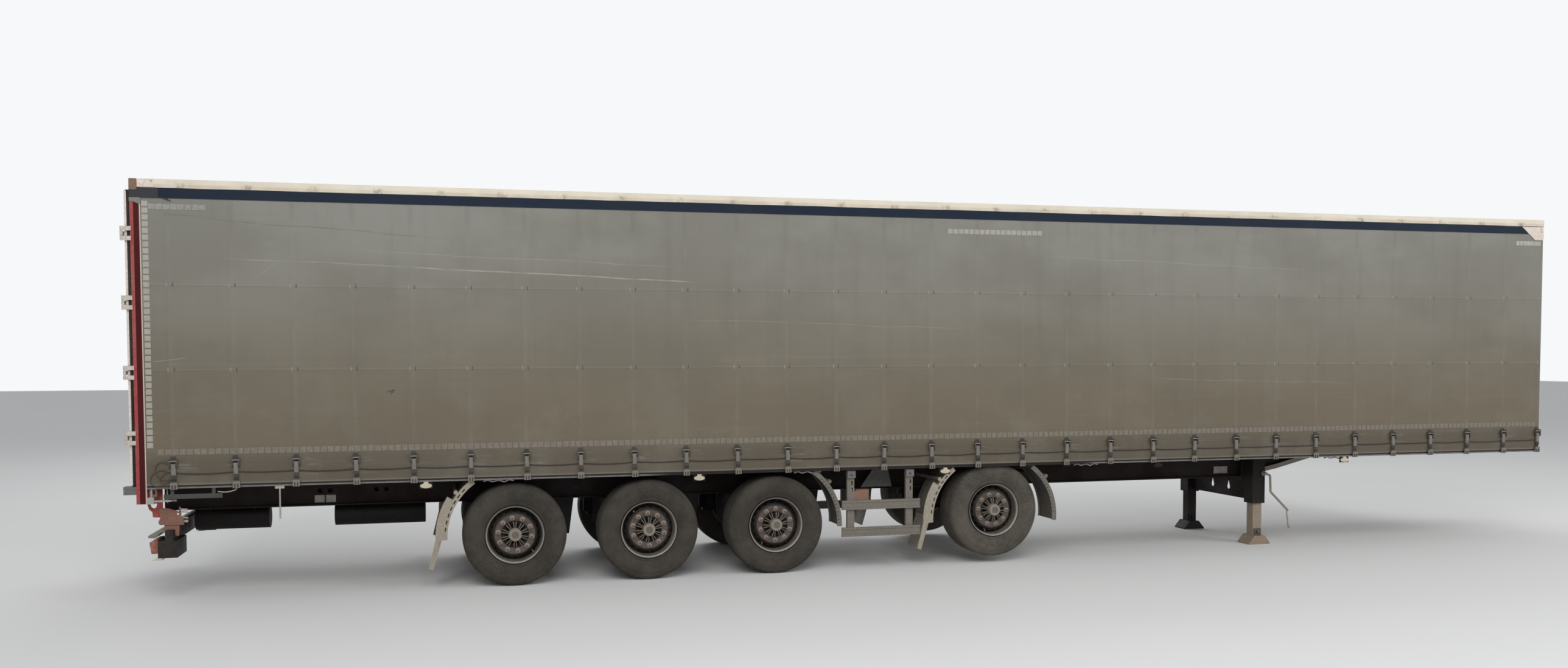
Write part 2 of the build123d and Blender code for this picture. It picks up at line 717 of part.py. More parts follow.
# Crank handle that hangs from the right leg's gearbox. Columns: forward of the leg, height
crank_radius = 13.0
crank_height = 865.0
crank_y = -leg_y - leg_size / 2 - 45
crank_points = [(60, crank_height), (125, 842), (135, 640), (375, 412), (405, 190)]
crank_path = [(leg_x + dx, z) for dx, z in crank_points]
with BuildPart() as landing_leg_right:
    add(leg_shape.part)
    with Locations((leg_x + 60, -leg_y - leg_size / 2, crank_height)):
        Cylinder(20, 45 + crank_radius, rotation=(90, 0, 0),
                 align=(Align.CENTER, Align.CENTER, Align.MIN))
    with BuildLine(Plane.XZ.offset(-crank_y)) as crank_line:
        FilletPolyline(*crank_path, radius=28)
    with BuildSketch(Plane(crank_line.line @ 0, z_dir=crank_line.line % 0)):
        Circle(crank_radius)
    sweep(path=crank_line.line)
landing_leg_right.part.label = "landing_leg_right"
export_step(landing_leg_right.part, "parts/landing_leg_right.step")

with BuildPart() as landing_leg_left:
    mirror(leg_shape.part, about=Plane.XZ)
landing_leg_left.part.label = "landing_leg_left"
export_step(landing_leg_left.part, "parts/landing_leg_left.step")

# Cross plate between the legs, with two teardrop cut-outs
brace_low = 530.0
brace_mid = (brace_low + beam_low) / 2
drop_radius = 32.0
drop_y = 170.0
with BuildPart() as leg_brace:
    with BuildSketch(Plane.YZ.offset(leg_x - 5)):
        with Locations((0, brace_mid)):
            Rectangle(2 * (leg_y - leg_size / 2), beam_low - brace_low)
        for y in (-drop_y, drop_y):
            with Locations((y, brace_mid - 24)):
                Circle(drop_radius, mode=Mode.SUBTRACT)
            Polygon((y - 0.92 * drop_radius, brace_mid - 12), (y, brace_mid + 78),
                    (y + 0.92 * drop_radius, brace_mid - 12), align=None, mode=Mode.SUBTRACT)
    extrude(amount=10)
leg_brace.part.label = "leg_brace"
export_step(leg_brace.part, "parts/leg_brace.step")

# Underrun carriers: on each side a hook plate, a clawed plate and a forked foot, side by side
plate_thickness = 12.0
carrier_y = rail_half_width - 155
bar_high = 684.0
# Columns: distance forward of the rear post, height
hook_outline = [(60, sill_low), (190, sill_low), (190, 800), (150, 803), (102, 806), (98, 855),
                (70, 882), (56, 930), (80, 930), (92, 900), (112, 890), (132, 900), (142, 934),
                (60, 960)]
claw_plate = [(152, 892), (240, 889), (310, 862), (350, 843), (350, 806), (372, 778), (372, 728),
              (160, 732), (150, 760), (172, 808)]
claws = [(886, 862), (858, 842), (806, 786), (778, 750)]
claw_reach = (330.0, 408.0)
foot_plate = [(200, 780), (330, 780), (330, bar_high), (322, 620), (292, 628), (292, bar_high),
              (220, bar_high), (220, 664), (200, 672)]
with BuildPart() as underrun_carriers:
    for side in (-1, 1):
        # outline, distance of the plate's inner face from the carrier's middle
        for outline, step in [(hook_outline, 0), (claw_plate, plate_thickness), (foot_plate, 0)]:
            with BuildSketch(Plane.XZ.offset(-side * (carrier_y + step) - plate_thickness / 2)):
                Polygon(*[(x_rear + px, pz) for px, pz in outline], align=None)
                if outline is claw_plate:
                    with Locations((x_rear + 322, 832)):
                        Circle(10, mode=Mode.SUBTRACT)
            extrude(amount=plate_thickness)
        with BuildSketch(Plane.XZ.offset(-side * carrier_y - plate_thickness / 2)):
            Polygon(*[(x_rear + px, pz) for px, pz in
                      [(330, 900), (330, 740), (345, 740), (345, 900)]], align=None)
            for high, low in claws:
                Polygon(*[(x_rear + px, pz) for px, pz in
                          [(claw_reach[0], high), (claw_reach[1], high - 8),
                           (claw_reach[1], low - 2), (claw_reach[0], low + 4)]], align=None)
        extrude(amount=plate_thickness)
underrun_carriers.part.label = "underrun_carriers"
export_step(underrun_carriers.part, "parts/underrun_carriers.step")

# Underrun guard: a bar across the back in the carriers' forks, a thick sloping hood, and a
# housing for the lamps under each end
bar_low_face = 574.0
bar_start_x = x_rear + 220
bar_deep = 70.0
guard_half = rail_half_width - 65
housing_start = 155.0
housing_end = 325.0
housing_low = 425.0
housing_width = 420.0
hood_outline = [(222, 676), (222, 702), (198, 703), (50, 626), (50, 606), (108, 602), (160, 650)]
with BuildPart() as underrun_guard:
    with Locations((bar_start_x, 0, bar_low_face)):
        Box(bar_deep, 2 * guard_half, bar_high - bar_low_face,
            align=(Align.MIN, Align.CENTER, Align.MIN))
    for side in (-1, 1):
        with Locations((x_rear + housing_start, side * guard_half, housing_low)):
            Box(housing_end - housing_start, housing_width, bar_low_face + 12 - housing_low,
                align=(Align.MIN, Align.MIN if side < 0 else Align.MAX, Align.MIN))
    with BuildSketch(Plane.XZ.offset(-carrier_y + 20)):
        Polygon(*[(x_rear + px, pz) for px, pz in hood_outline], align=None)
    extrude(amount=2 * (carrier_y - 20))
underrun_guard.part.label = "underrun_guard"
export_step(underrun_guard.part, "parts/underrun_guard.step")

# Lamps: rear clusters on the housings, the wedge under each, and oval side markers
marker_places = [2600.0, 5340.0, 8080.0, 10700.0, 13210.0]
marker_drop = 40.0
lamp_width = 300.0
lamp_outline = [(housing_start, 470), (housing_start, 600), (112, 595), (84, 575), (100, 468)]
wedge_outline = [(108, 408), (housing_start, 440), (housing_start, housing_low), (192, housing_low),
                 (192, 405), (120, 403)]
with BuildPart() as lamps:
    for side in (-1, 1):
        for outline in (lamp_outline, wedge_outline):
            with BuildSketch(Plane.XZ.offset(-side * (guard_half - lamp_width / 2) - lamp_width / 2)):
                Polygon(*[(x_rear + px, pz) for px, pz in outline], align=None)
            extrude(amount=lamp_width)
        for forward in marker_places:
            with BuildSketch(Plane.XZ.offset(-side * (rail_half_width - rail_shelf / 2) - 11)):
                with Locations((x_rear + forward, rail_low - marker_drop)):
                    Ellipse(56, 24)
                    Rectangle(44, marker_drop - clearance, align=(Align.CENTER, Align.MIN))
            extrude(amount=22)
lamps.part.label = "lamps"
export_step(lamps.part, "parts/lamps.step")

# Air tanks under the frame, on brackets from the right main beam's web
tank_radius = 115.0
tank_y = 330.0
tank_height = 690.0
tank_hook = 915.0
web_inner = -beam_y + beam_web_thickness / 2
# distance forward of the rear post, length
tanks = [(340.0, 700.0), (1670.0, 900.0)]
with BuildPart() as air_tanks:
    for start, length in tanks:
        with Locations((x_rear + start, -tank_y, tank_height)):
            Cylinder(tank_radius, length, rotation=(0, 90, 0),
                     align=(Align.CENTER, Align.CENTER, Align.MIN))
        for share in (0.2, 0.8):
            with BuildSketch(Plane.YZ.offset(x_rear + start + share * length)):
                Polygon(*[
                    (web_inner, tank_hook + 130), (web_inner, tank_hook),
                    (-inner_reach + 6, tank_hook), (-tank_y - 60, tank_height),
                    (-tank_y, tank_height), (-tank_y, tank_hook), (-tank_y - 70, tank_hook + 130),
                ], align=None)
            extrude(amount=10)
air_tanks.part.label = "air_tanks"
export_step(air_tanks.part, "parts/air_tanks.step")

# Rear doors: a framed panel, two lock rods with a handle, and four hinge straps with pins
rod_radius = 13.5
rod_stand = 20.0
rod_places = [212.0, 782.0]
strap_wall = 8.0
frame_width = 80.0
pocket_depth = 8.0
handle_height = 1450.0
handle_length = 400.0
keeper_inset = 150.0
strap_points = [
    (hinge_x - strap_wall, hinge_y), (hinge_x + strap_wall, hinge_y),
    (hinge_x + strap_wall, hinge_y - 40), (rear_door_face, hinge_y - 46),
    (rear_door_face, hinge_y - frame_width), (rear_door_face - strap_wall, hinge_y - frame_width),
    (hinge_x - strap_wall, hinge_y - 60),
]
door_middle = (door_high + door_low) / 2
rod_length = door_high - door_low - 40
bracket_heights = [door_low + keeper_inset + index * (door_high - door_low - 2 * keeper_inset) / 3
                   for index in range(4)]
with BuildPart() as door_left:
    with Locations((x_rear - door_gap, door_gap / 2, door_low)):
        Box(door_thickness, door_edge - door_gap / 2, door_high - door_low,
            align=(Align.MAX, Align.MIN, Align.MIN))
    with Locations((rear_door_face, (door_gap / 2 + door_edge) / 2, door_middle)):
        Box(pocket_depth, door_edge - door_gap / 2 - 2 * frame_width,
            door_high - door_low - 2 * frame_width,
            align=(Align.MIN, Align.CENTER, Align.CENTER), mode=Mode.SUBTRACT)
    for y in rod_places:
        with Locations((rear_door_face - rod_stand, y, door_middle)):
            Cylinder(rod_radius, rod_length)
        for z in bracket_heights:
            with Locations((rear_door_face + pocket_depth, y, z)):
                Box(rod_stand + 16 + pocket_depth, 60, 50,
                    align=(Align.MAX, Align.CENTER, Align.CENTER))
        for z in (door_low + 45, door_high - 45):
            with Locations((rear_door_face, y, z)):
                Box(rod_stand, 40, 40, align=(Align.MAX, Align.CENTER, Align.CENTER))
    with Locations((rear_door_face - rod_stand - 4, rod_places[1], handle_height)):
        Box(14, handle_length, 32, align=(Align.MAX, Align.MAX, Align.CENTER))
    for height in hinge_heights:
        with BuildSketch(Plane.XY.offset(height - lug_height / 2)):
            with Locations((hinge_x, hinge_y)):
                Circle(hinge_radius)
            Polygon(*strap_points, align=None)
        extrude(amount=lug_height)
        with Locations((hinge_x, hinge_y, height)):
            Cylinder(hinge_pin_radius, hinge_height)
door_left.part.label = "door_left"
export_step(door_left.part, "parts/door_left.step")

with BuildPart() as door_right:
    mirror(door_left.part, about=Plane.XZ)
door_right.part.label = "door_right"
export_step(door_right.part, "parts/door_right.step")
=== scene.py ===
import random
from math import atan2, copysign, cos, exp, hypot, pi, radians, sin

import bpy
from mathutils import Matrix, Vector
from mathutils import noise


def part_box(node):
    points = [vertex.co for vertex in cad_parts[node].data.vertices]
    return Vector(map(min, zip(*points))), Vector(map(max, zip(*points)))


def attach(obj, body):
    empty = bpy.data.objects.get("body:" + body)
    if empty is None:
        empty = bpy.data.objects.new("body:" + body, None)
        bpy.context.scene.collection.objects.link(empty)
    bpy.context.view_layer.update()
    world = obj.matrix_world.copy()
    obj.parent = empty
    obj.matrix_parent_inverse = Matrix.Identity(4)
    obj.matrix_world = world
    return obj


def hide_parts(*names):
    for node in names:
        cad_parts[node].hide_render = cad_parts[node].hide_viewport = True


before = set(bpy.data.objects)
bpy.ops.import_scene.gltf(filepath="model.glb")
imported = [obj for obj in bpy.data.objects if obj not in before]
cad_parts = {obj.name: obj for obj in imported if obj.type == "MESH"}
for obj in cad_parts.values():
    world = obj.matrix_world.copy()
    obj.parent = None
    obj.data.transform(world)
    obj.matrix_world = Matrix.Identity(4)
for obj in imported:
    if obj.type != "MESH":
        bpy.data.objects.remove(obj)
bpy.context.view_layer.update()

# Places taken from the frame, in metres
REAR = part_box("floor")[0].x - 0.09
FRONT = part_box("front_frame")[1].x
RAIL_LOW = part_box("side_rail_right")[0].z
CURTAIN_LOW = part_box("curtain_right")[0].z
CURTAIN_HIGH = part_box("curtain_right")[1].z
HEM_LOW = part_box("roof_sheet")[0].z
ROOF_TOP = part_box("roof_sheet")[1].z
HEM_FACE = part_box("roof_sheet")[1].y
BAND_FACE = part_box("curtain_left")[1].y
CURTAIN_FACE = BAND_FACE - 0.0025
CLOTH_FACE = CURTAIN_FACE - 0.0026
CURTAIN_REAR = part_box("curtain_right")[0].x
CURTAIN_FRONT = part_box("curtain_right")[1].x
BAND_LOW = HEM_LOW - 0.09
BUCKLE_FIRST = 0.322
BUCKLE_PITCH = 0.542
BUCKLE_LAST_BACK = 0.04
BUCKLES = [REAR + BUCKLE_FIRST + i * BUCKLE_PITCH for i in range(29)] + [FRONT - BUCKLE_LAST_BACK]
SEAMS = (2.996, 2.201)
CABLE_HEIGHT = 1.236
CABLE_RADIUS = 0.0042
TAPE_ROW = (1.405, 1.462)
BOW_PITCH = 0.58
FOLD_FIRST = 0.427
FOLD_PITCH = 0.588
SIDES = (("right", -1), ("left", 1))
random.seed(7)


# Finishes

class Nodes:
    """A material's node tree, with one short method for each kind of node it uses."""

    def __init__(self, name):
        self.material = bpy.data.materials.new(name)
        self.material.use_nodes = True
        self.tree = self.material.node_tree
        self.shader = self.tree.nodes["Principled BSDF"]
        self.place = self.add("TexCoord", {}, "Object")

    def give(self, socket, value):
        """Links another node's socket, or sets a plain number, place or colour."""
        if isinstance(value, bpy.types.NodeSocket):
            self.tree.links.new(value, socket)
        else:
            socket.default_value = value

    def add(self, kind, inputs, output, **settings):
        """Adds a node with these settings and inputs, and gives one of its outputs."""
        node = self.tree.nodes.new("ShaderNode" + kind)
        for key, value in settings.items():
            setattr(node, key, value)
        for key, value in inputs.items():
            self.give(node.inputs[key], value)
        return node.outputs[output]

    def stretched(self, scale, offset=(0, 0, 0)):
        return self.add("Mapping", {"Scale": scale, "Location": offset, "Vector": self.place}, "Vector")

    def noise(self, scale, detail=4.0, rough=0.55, vector=None, warp=0.0):
        inputs = {"Scale": scale, "Detail": detail, "Roughness": rough, "Distortion": warp}
        return self.add("TexNoise", {**inputs, "Vector": vector or self.place}, "Fac")

    def wave(self, scale, axis):
        return self.add("TexWave", {"Scale": scale, "Vector": self.place}, "Fac", bands_direction=axis)

    def limits(self, value, low, high, to_low=0.0, to_high=1.0):
        """Goes smoothly from to_low to to_high while the value goes from low to high."""
        inputs = {"From Min": low, "From Max": high, "To Min": to_low, "To Max": to_high, "Value": value}
        return self.add("MapRange", inputs, "Result", interpolation_type="SMOOTHSTEP")

    def math(self, operation, first, second=0.0):
        return self.add("Math", {0: first, 1: second}, "Value", operation=operation)

    def times(self, first, *others):
        for other in others:
            first = self.math("MULTIPLY", first, other)
        return first

    def plus(self, first, second):
        return self.math("ADD", first, second)

    def minus(self, first, second):
        return self.math("SUBTRACT", first, second)

    def axis(self, letter):
        return self.add("SeparateXYZ", {"Vector": self.place}, letter)

    def mix(self, share, *colours):
        """The second colour over the first, by this share."""
        first, second = [(*c, 1.0) if isinstance(c, tuple) else c for c in colours]
        return self.add("Mix", {0: share, 6: first, 7: second}, 2, data_type="RGBA")

    def bump(self, height, strength, distance, under=None):
        inputs = {"Strength": strength, "Distance": distance, "Height": height}
        if under:
            inputs["Normal"] = under
        return self.add("Bump", inputs, "Normal")

    def done(self, colour, rough, normal=None, metal=0.0, specular=0.5):
        """Gives these to the material's shader."""
        inputs = {"Base Color": colour, "Roughness": rough, "Metallic": metal, "Specular IOR Level": specular}
        if normal:
            inputs["Normal"] = normal
        for key, value in inputs.items():
            self.give(self.shader.inputs[key], value)
        return self.material


DUST = (0.27, 0.235, 0.19)
RUST = (0.16, 0.065, 0.035)


def speckled(n, dark, light, grain=1.0):
    """Fine specks: their noise, and the shade that goes with them from dark to light."""
    fine = n.noise(46.0 * grain, 5.0, 0.6)
    return fine, n.mix(n.limits(fine, 0.35, 0.7), dark, light)


def grainy(n, fine):
    """The fine grain of paint and metal."""
    return n.bump(fine, 0.22, 0.0012)


def weathered(name, colour, dust, rust=0.0, metal=0.0, rough=(0.45, 0.8), grain=1.0,
              tint=DUST, specular=0.5):
    """Paint or metal with worn patches, rust spots, and dust of this tint that thickens downwards."""
    n = Nodes(name)
    patches = n.noise(3.1 * grain, 6.0, 0.62)
    dark, light = [tuple(min(1.0, by * c) for c in colour) for by in (0.82, 1.12)]
    fine, shade = speckled(n, dark, light, grain)
    height = n.limits(n.axis("Z"), 1.1, 0.2, 0.45, 1.0)
    film = n.times(n.limits(patches, 0.34, 0.72), height)
    speckle = n.limits(fine, 0.3, 0.75, 0.55, 1.0)
    film = n.times(film, n.times(speckle, min(1.0, 2 * dust)))
    shade = n.mix(film, shade, tint)
    if rust:
        spots = n.noise(11.0 * grain, 7.0, 0.68, warp=0.6)
        share = n.times(n.limits(spots, 0.62 - 0.2 * rust, 0.72), rust)
        shade = n.mix(share, shade, n.mix(fine, RUST, tuple(2.1 * c for c in RUST)))
    roughness = n.limits(patches, 0.3, 0.7, rough[0], rough[1])
    return n.done(shade, roughness, grainy(n, fine), metal, specular)


def rail_finish():
    """The lower lip of the side rails: pale near both ends and dark along the middle."""
    n = Nodes("rail_lip")
    fine, shade = speckled(n, (0.145, 0.135, 0.124), (0.196, 0.183, 0.168))
    x = n.axis("X")
    dark_middle = n.times(n.limits(x, REAR + 4.75, REAR + 5.05), n.limits(x, REAR + 9.95, REAR + 9.75))
    shade = n.mix(dark_middle, shade, n.mix(fine, (0.01, 0.008, 0.008), (0.022, 0.019, 0.017)))
    return n.done(shade, n.limits(fine, 0.3, 0.7, 0.5, 0.8), grainy(n, fine), specular=0.25)


def layered(n, shade, *layers):
    """Lays colours over a shade: what each follows, where it starts, where it is full, strength, colour."""
    for value, start, full, strength, colour in layers:
        shade = n.mix(n.limits(value, start, full, 0.0, strength), shade, colour)
    return shade


def near_line(n, coordinate, place, half):
    """1 where a coordinate has this value, falling to 0 at the distance half."""
    return n.limits(n.math("ABSOLUTE", n.minus(coordinate, place)), half, half * 0.3)


def ahead_of(n, first, pitch):
    """How far a point is ahead of the nearest of a row of places along the trailer."""
    turns = n.math("DIVIDE", n.minus(n.axis("X"), REAR + first), pitch)
    return n.times(n.minus(n.math("FRACT", n.plus(turns, 0.5)), 0.5), pitch)


def scratch(n, first, last, half, wander):
    """1 along a line on the right curtain; its ends are given from the rear post and the ground."""
    x = n.axis("X")
    slope = (last[1] - first[1]) / (last[0] - first[0])
    height = n.plus(n.times(x, slope), first[1] - slope * (REAR + first[0]))
    sway = n.times(n.minus(n.noise(1.3, 2.0), 0.5), wander)
    away = n.math("ABSOLUTE", n.minus(n.axis("Z"), n.plus(height, sway)))
    line = n.limits(away, half, half * 0.2)
    ramp = min(0.35, 0.25 * (last[0] - first[0]))
    for end, inner in ((first[0], ramp), (last[0], -ramp)):
        line = n.times(line, n.limits(x, REAR + end, REAR + end + inner))
    line = n.times(line, n.limits(n.noise(6.0, 3.0), 0.3, 0.6, 0.25, 1.0))
    return n.times(line, n.limits(n.axis("Y"), 0.1, -0.1))


# Marks on the right curtain: from, to (forward of the rear post, height), half width, wander,
# strength, colour
MARKS = [
    ((0.7, 3.262), (2.6, 3.188), 0.007, 0.05, 0.45, (0.36, 0.35, 0.31)),
    ((2.3, 3.2), (5.4, 3.075), 0.009, 0.04, 0.6, (0.4, 0.39, 0.345)),
    ((1.9, 3.352), (5.2, 3.225), 0.006, 0.06, 0.35, (0.36, 0.35, 0.31)),
    ((0.1, 3.668), (2.9, 3.47), 0.007, 0.06, 0.45, (0.085, 0.08, 0.07)),
    ((1.0, 3.005), (1.35, 3.3), 0.004, 0.0, 0.4, (0.36, 0.35, 0.31)),
    ((0.1, 2.275), (0.5, 2.32), 0.004, 0.01, 0.5, (0.36, 0.35, 0.31)),
    ((5.0, 2.7), (8.4, 2.61), 0.006, 0.07, 0.3, (0.34, 0.33, 0.29)),
    ((9.2, 3.42), (12.8, 3.3), 0.006, 0.08, 0.35, (0.37, 0.36, 0.32)),
    ((10.5, 2.05), (13.4, 1.97), 0.006, 0.06, 0.3, (0.34, 0.33, 0.29)),
    ((2.24, 1.975), (2.33, 2.000), 0.01, 0.0, 0.85, (0.02, 0.018, 0.015)),
    ((2.275, 1.96), (2.315, 1.985), 0.012, 0.0, 0.85, (0.02, 0.018, 0.015)),
]


def curtain_finish():
    """Coated cloth: grey above, browner and dustier towards the road, with straps showing through."""
    n = Nodes("curtain_cloth_dusty")
    z = n.axis("Z")
    shade = n.mix(n.limits(z, 3.85, 1.5), (0.216, 0.214, 0.19), (0.143, 0.118, 0.082))
    clouds = n.noise(0.55, 5.0, 0.6, n.stretched((1.0, 1.0, 1.9)))
    patches = n.noise(1.5, 6.0, 0.66)
    streaks = n.noise(7.0, 6.0, 0.62, n.stretched((1.0, 1.0, 0.09)))
    wipes = n.noise(2.2, 7.0, 0.7, n.stretched((0.16, 1.0, 9.0)), 0.35)
    shade = layered(n, shade, (z, 1.52, 1.3, 1.0, (0.097, 0.08, 0.058)),
                    (clouds, 0.4, 0.62, 0.3, (0.124, 0.112, 0.087)),
                    (patches, 0.48, 0.66, 0.24, (0.188, 0.174, 0.142)),
                    (streaks, 0.48, 0.75, 0.13, (0.09, 0.08, 0.066)),
                    (wipes, 0.56, 0.78, 0.22, (0.24, 0.228, 0.195)))
    fine = n.noise(1.6, 3.0, 0.5, n.stretched((0.1, 1.0, 15.0), (3.1, 0, 1.7)), 0.8)
    line = n.times(n.limits(fine, 0.497, 0.5), n.limits(fine, 0.503, 0.5))
    broken = n.limits(n.noise(0.9, 2.0), 0.5, 0.62)
    shade = n.mix(n.times(line, broken, 0.3), shade, (0.3, 0.29, 0.25))
    for *line, strength, colour in MARKS:
        shade = n.mix(n.times(scratch(n, *line), strength), shade, colour)
    ahead = ahead_of(n, BUCKLE_FIRST, BUCKLE_PITCH)
    strap = near_line(n, ahead, 0.0, 0.027)
    worn = n.limits(n.noise(5.0, 4.0), 0.3, 0.7, 0.0, 0.17)
    shade = n.mix(n.times(strap, worn), shade, (0.225, 0.215, 0.182))
    # Darker along the straps near the top: painted shade of the small pleats there.
    top = n.limits(n.plus(z, n.limits(n.noise(3.0), 0.3, 0.7, -0.12, 0.12)), 3.42, 3.75, 0.0, 0.16)
    shade = n.mix(n.times(near_line(n, ahead, 0.0, 0.034), top), shade, (0.092, 0.09, 0.08))
    for seam in SEAMS:
        for rise, half, strength, colour in ((0.004, 0.007, 0.2, (0.24, 0.228, 0.195)),
                                             (-0.006, 0.006, 0.22, (0.088, 0.079, 0.064))):
            shade = n.mix(n.times(near_line(n, z, seam + rise, half), strength), shade, colour)
        tall = near_line(n, z, seam + 0.004, 0.028)
        for place, colour, strength in ((-0.027, (0.3, 0.285, 0.245), 0.6),
                                        (0.027, (0.06, 0.054, 0.044), 0.8)):
            tick = n.times(tall, near_line(n, ahead, place, 0.0085), strength)
            shade = n.mix(tick, shade, colour)
    rubbed = n.times(n.limits(n.noise(7.0, 5.0, 0.7, n.stretched((0.5, 1, 5.0))), 0.5, 0.68),
                     n.times(near_line(n, z, 1.27, 0.12), near_line(n, ahead, 0.06, 0.19)))
    shade = n.mix(n.times(rubbed, 0.45), shade, (0.235, 0.222, 0.19))
    # A paler band on the hem; below it the cloth's bottom edge is painted near black, a painted shadow where
    # the curtain meets the rail.
    shade = layered(n, shade,
                    (z, CURTAIN_LOW + 0.032, CURTAIN_LOW + 0.027, 0.35, (0.2, 0.185, 0.15)),
                    (z, CURTAIN_LOW + 0.0175, CURTAIN_LOW + 0.0135, 0.97, (0.006, 0.005, 0.005)))
    weave = n.plus(n.wave(150.0, "X"), n.wave(150.0, "Z"))
    normal = n.bump(weave, 0.05, 0.0004)
    normal = n.bump(n.noise(24.0, 5.0), 0.1, 0.002, normal)
    return n.done(shade, n.limits(clouds, 0.3, 0.7, 0.55, 0.75), normal, specular=0.25)


def stained(n, colour, stain, share):
    """Stains that run down a cloth, and the cloth's colour with them."""
    stains = n.noise(2.3, 6.0, 0.66, n.stretched((1.0, 1.0, 0.5)))
    return stains, layered(n, colour, (stains, 0.42, 0.74, share, stain))


def woven(n, stains, shade, stain, weave, specular):
    """The rest of a cloth: fine specks of the stain's colour, and the weave."""
    fine = n.noise(38.0, 5.0, 0.6)
    shade = n.mix(n.limits(fine, 0.55, 0.8, 0.0, 0.28), shade, stain)
    normal = n.bump(n.plus(n.wave(weave, "X"), n.wave(weave, "Z")), 0.06, 0.0004)
    return n.done(shade, n.limits(stains, 0.3, 0.7, 0.5, 0.75), n.bump(fine, 0.12, 0.001, normal),
                  specular=specular)


def cloth_finish(name, colour, stain, weave=150.0, stain_share=0.3, specular=0.35):
    """Plain coated cloth."""
    n = Nodes(name)
    return woven(n, *stained(n, colour, stain, stain_share), stain, weave, specular)


def roof_finish():
    """Cream cloth with stains, brown where the hem is creased at each bow."""
    n = Nodes("roof_cream")
    stain = (0.46, 0.4, 0.31)
    stains, shade = stained(n, (0.66, 0.6, 0.49), stain, 0.3)
    ahead = ahead_of(n, FOLD_FIRST, FOLD_PITCH)
    low = n.limits(n.axis("Z"), ROOF_TOP - 0.02, HEM_LOW + 0.02)
    knot = n.times(near_line(n, ahead, 0.0, 0.07), low)
    spots = n.limits(n.noise(21.0, 5.0, 0.65, warp=0.5), 0.4, 0.62)
    shade = n.mix(n.times(knot, spots, 0.75), shade, (0.13, 0.09, 0.06))
    edge = n.times(n.limits(n.axis("Z"), HEM_LOW + 0.04, HEM_LOW + 0.034),
                   n.limits(n.noise(4.0, 4.0), 0.35, 0.6, 0.2, 0.55))
    shade = n.mix(edge, shade, (0.42, 0.36, 0.27))
    return woven(n, stains, shade, stain, 150.0, 0.3)


def post_finish():
    """Red paint with a near-black red channel of painted shade and a pale front edge on the post's outer
    side.
    """
    n = Nodes("post_red")
    patches = n.noise(3.1, 6.0, 0.62)
    fine, shade = speckled(n, (0.27, 0.044, 0.046), (0.36, 0.066, 0.066))
    spots = n.noise(11.0, 7.0, 0.68, warp=0.6)
    shade = layered(n, shade, (patches, 0.4, 0.75, 0.22, DUST), (spots, 0.57, 0.72, 0.4, RUST))
    outer = n.limits(n.math("ABSOLUTE", n.axis("Y")), BAND_FACE - 0.012, BAND_FACE - 0.008)
    low = n.limits(n.axis("Z"), HEM_LOW - 0.12, HEM_LOW - 0.13)
    # From 0.03 m forward of the rear post the outer side is near-black red, painted shade of the recess
    # beside the curtain; from 0.079 m on it is the pale front edge.
    for start, colour in ((0.03, (0.054, 0.004, 0.005)), (0.079, (0.5, 0.42, 0.36))):
        share = n.limits(n.axis("X"), REAR + start, REAR + start + 0.002)
        shade = n.mix(n.times(share, outer, low), shade, colour)
    return n.done(shade, n.limits(patches, 0.3, 0.7, 0.4, 0.7), grainy(n, fine), specular=0.15)


def tyre_finish(name, lift):
    """Dusty rubber, scuffed on the sidewall, with pale road dust in the tread."""
    n = Nodes(name)
    broad = n.noise(4.5, 6.0, 0.65)
    fine = n.noise(60.0, 6.0, 0.65)
    tones = [tuple(lift * part for part in tone) for tone in
             ((0.03, 0.027, 0.023), (0.054, 0.047, 0.038), (0.086, 0.075, 0.06))]
    shade = n.mix(n.limits(broad, 0.3, 0.7), tones[0], tones[1])
    shade = n.mix(n.limits(fine, 0.45, 0.72, 0.0, 0.5), shade, tones[2])
    cuts = n.noise(15.0, 3.0, 0.5, warp=1.4)
    line = n.times(n.limits(cuts, 0.485, 0.5), n.limits(cuts, 0.515, 0.5))
    shade = n.mix(n.times(line, 0.3), shade, (0.022, 0.02, 0.018))
    normal = n.bump(fine, 0.45, 0.002)
    normal = n.bump(n.times(line, n.limits(broad, 0.45, 0.6)), -0.25, 0.003, normal)
    return n.done(shade, n.limits(fine, 0.3, 0.7, 0.78, 0.95), normal, specular=0.25)


def wood_finish():
    n = Nodes("deck_wood")
    rings = n.noise(6.0, 6.0, 0.6, n.stretched((0.25, 7.0, 7.0)), 0.3)
    shade = n.mix(rings, (0.12, 0.07, 0.04), (0.24, 0.155, 0.095))
    return n.done(shade, 0.7, n.bump(rings, 0.3, 0.001))


def lens_finish(name, colour):
    n = Nodes(name)
    dark_middle = n.noise(30.0, 5.0, 0.6)
    ribs = n.wave(55.0, "Z")
    shade = n.mix(n.limits(dark_middle, 0.4, 0.75, 0.0, 0.5), colour, DUST)
    return n.done(shade, n.limits(dark_middle, 0.3, 0.7, 0.15, 0.5), n.bump(ribs, 0.25, 0.001))


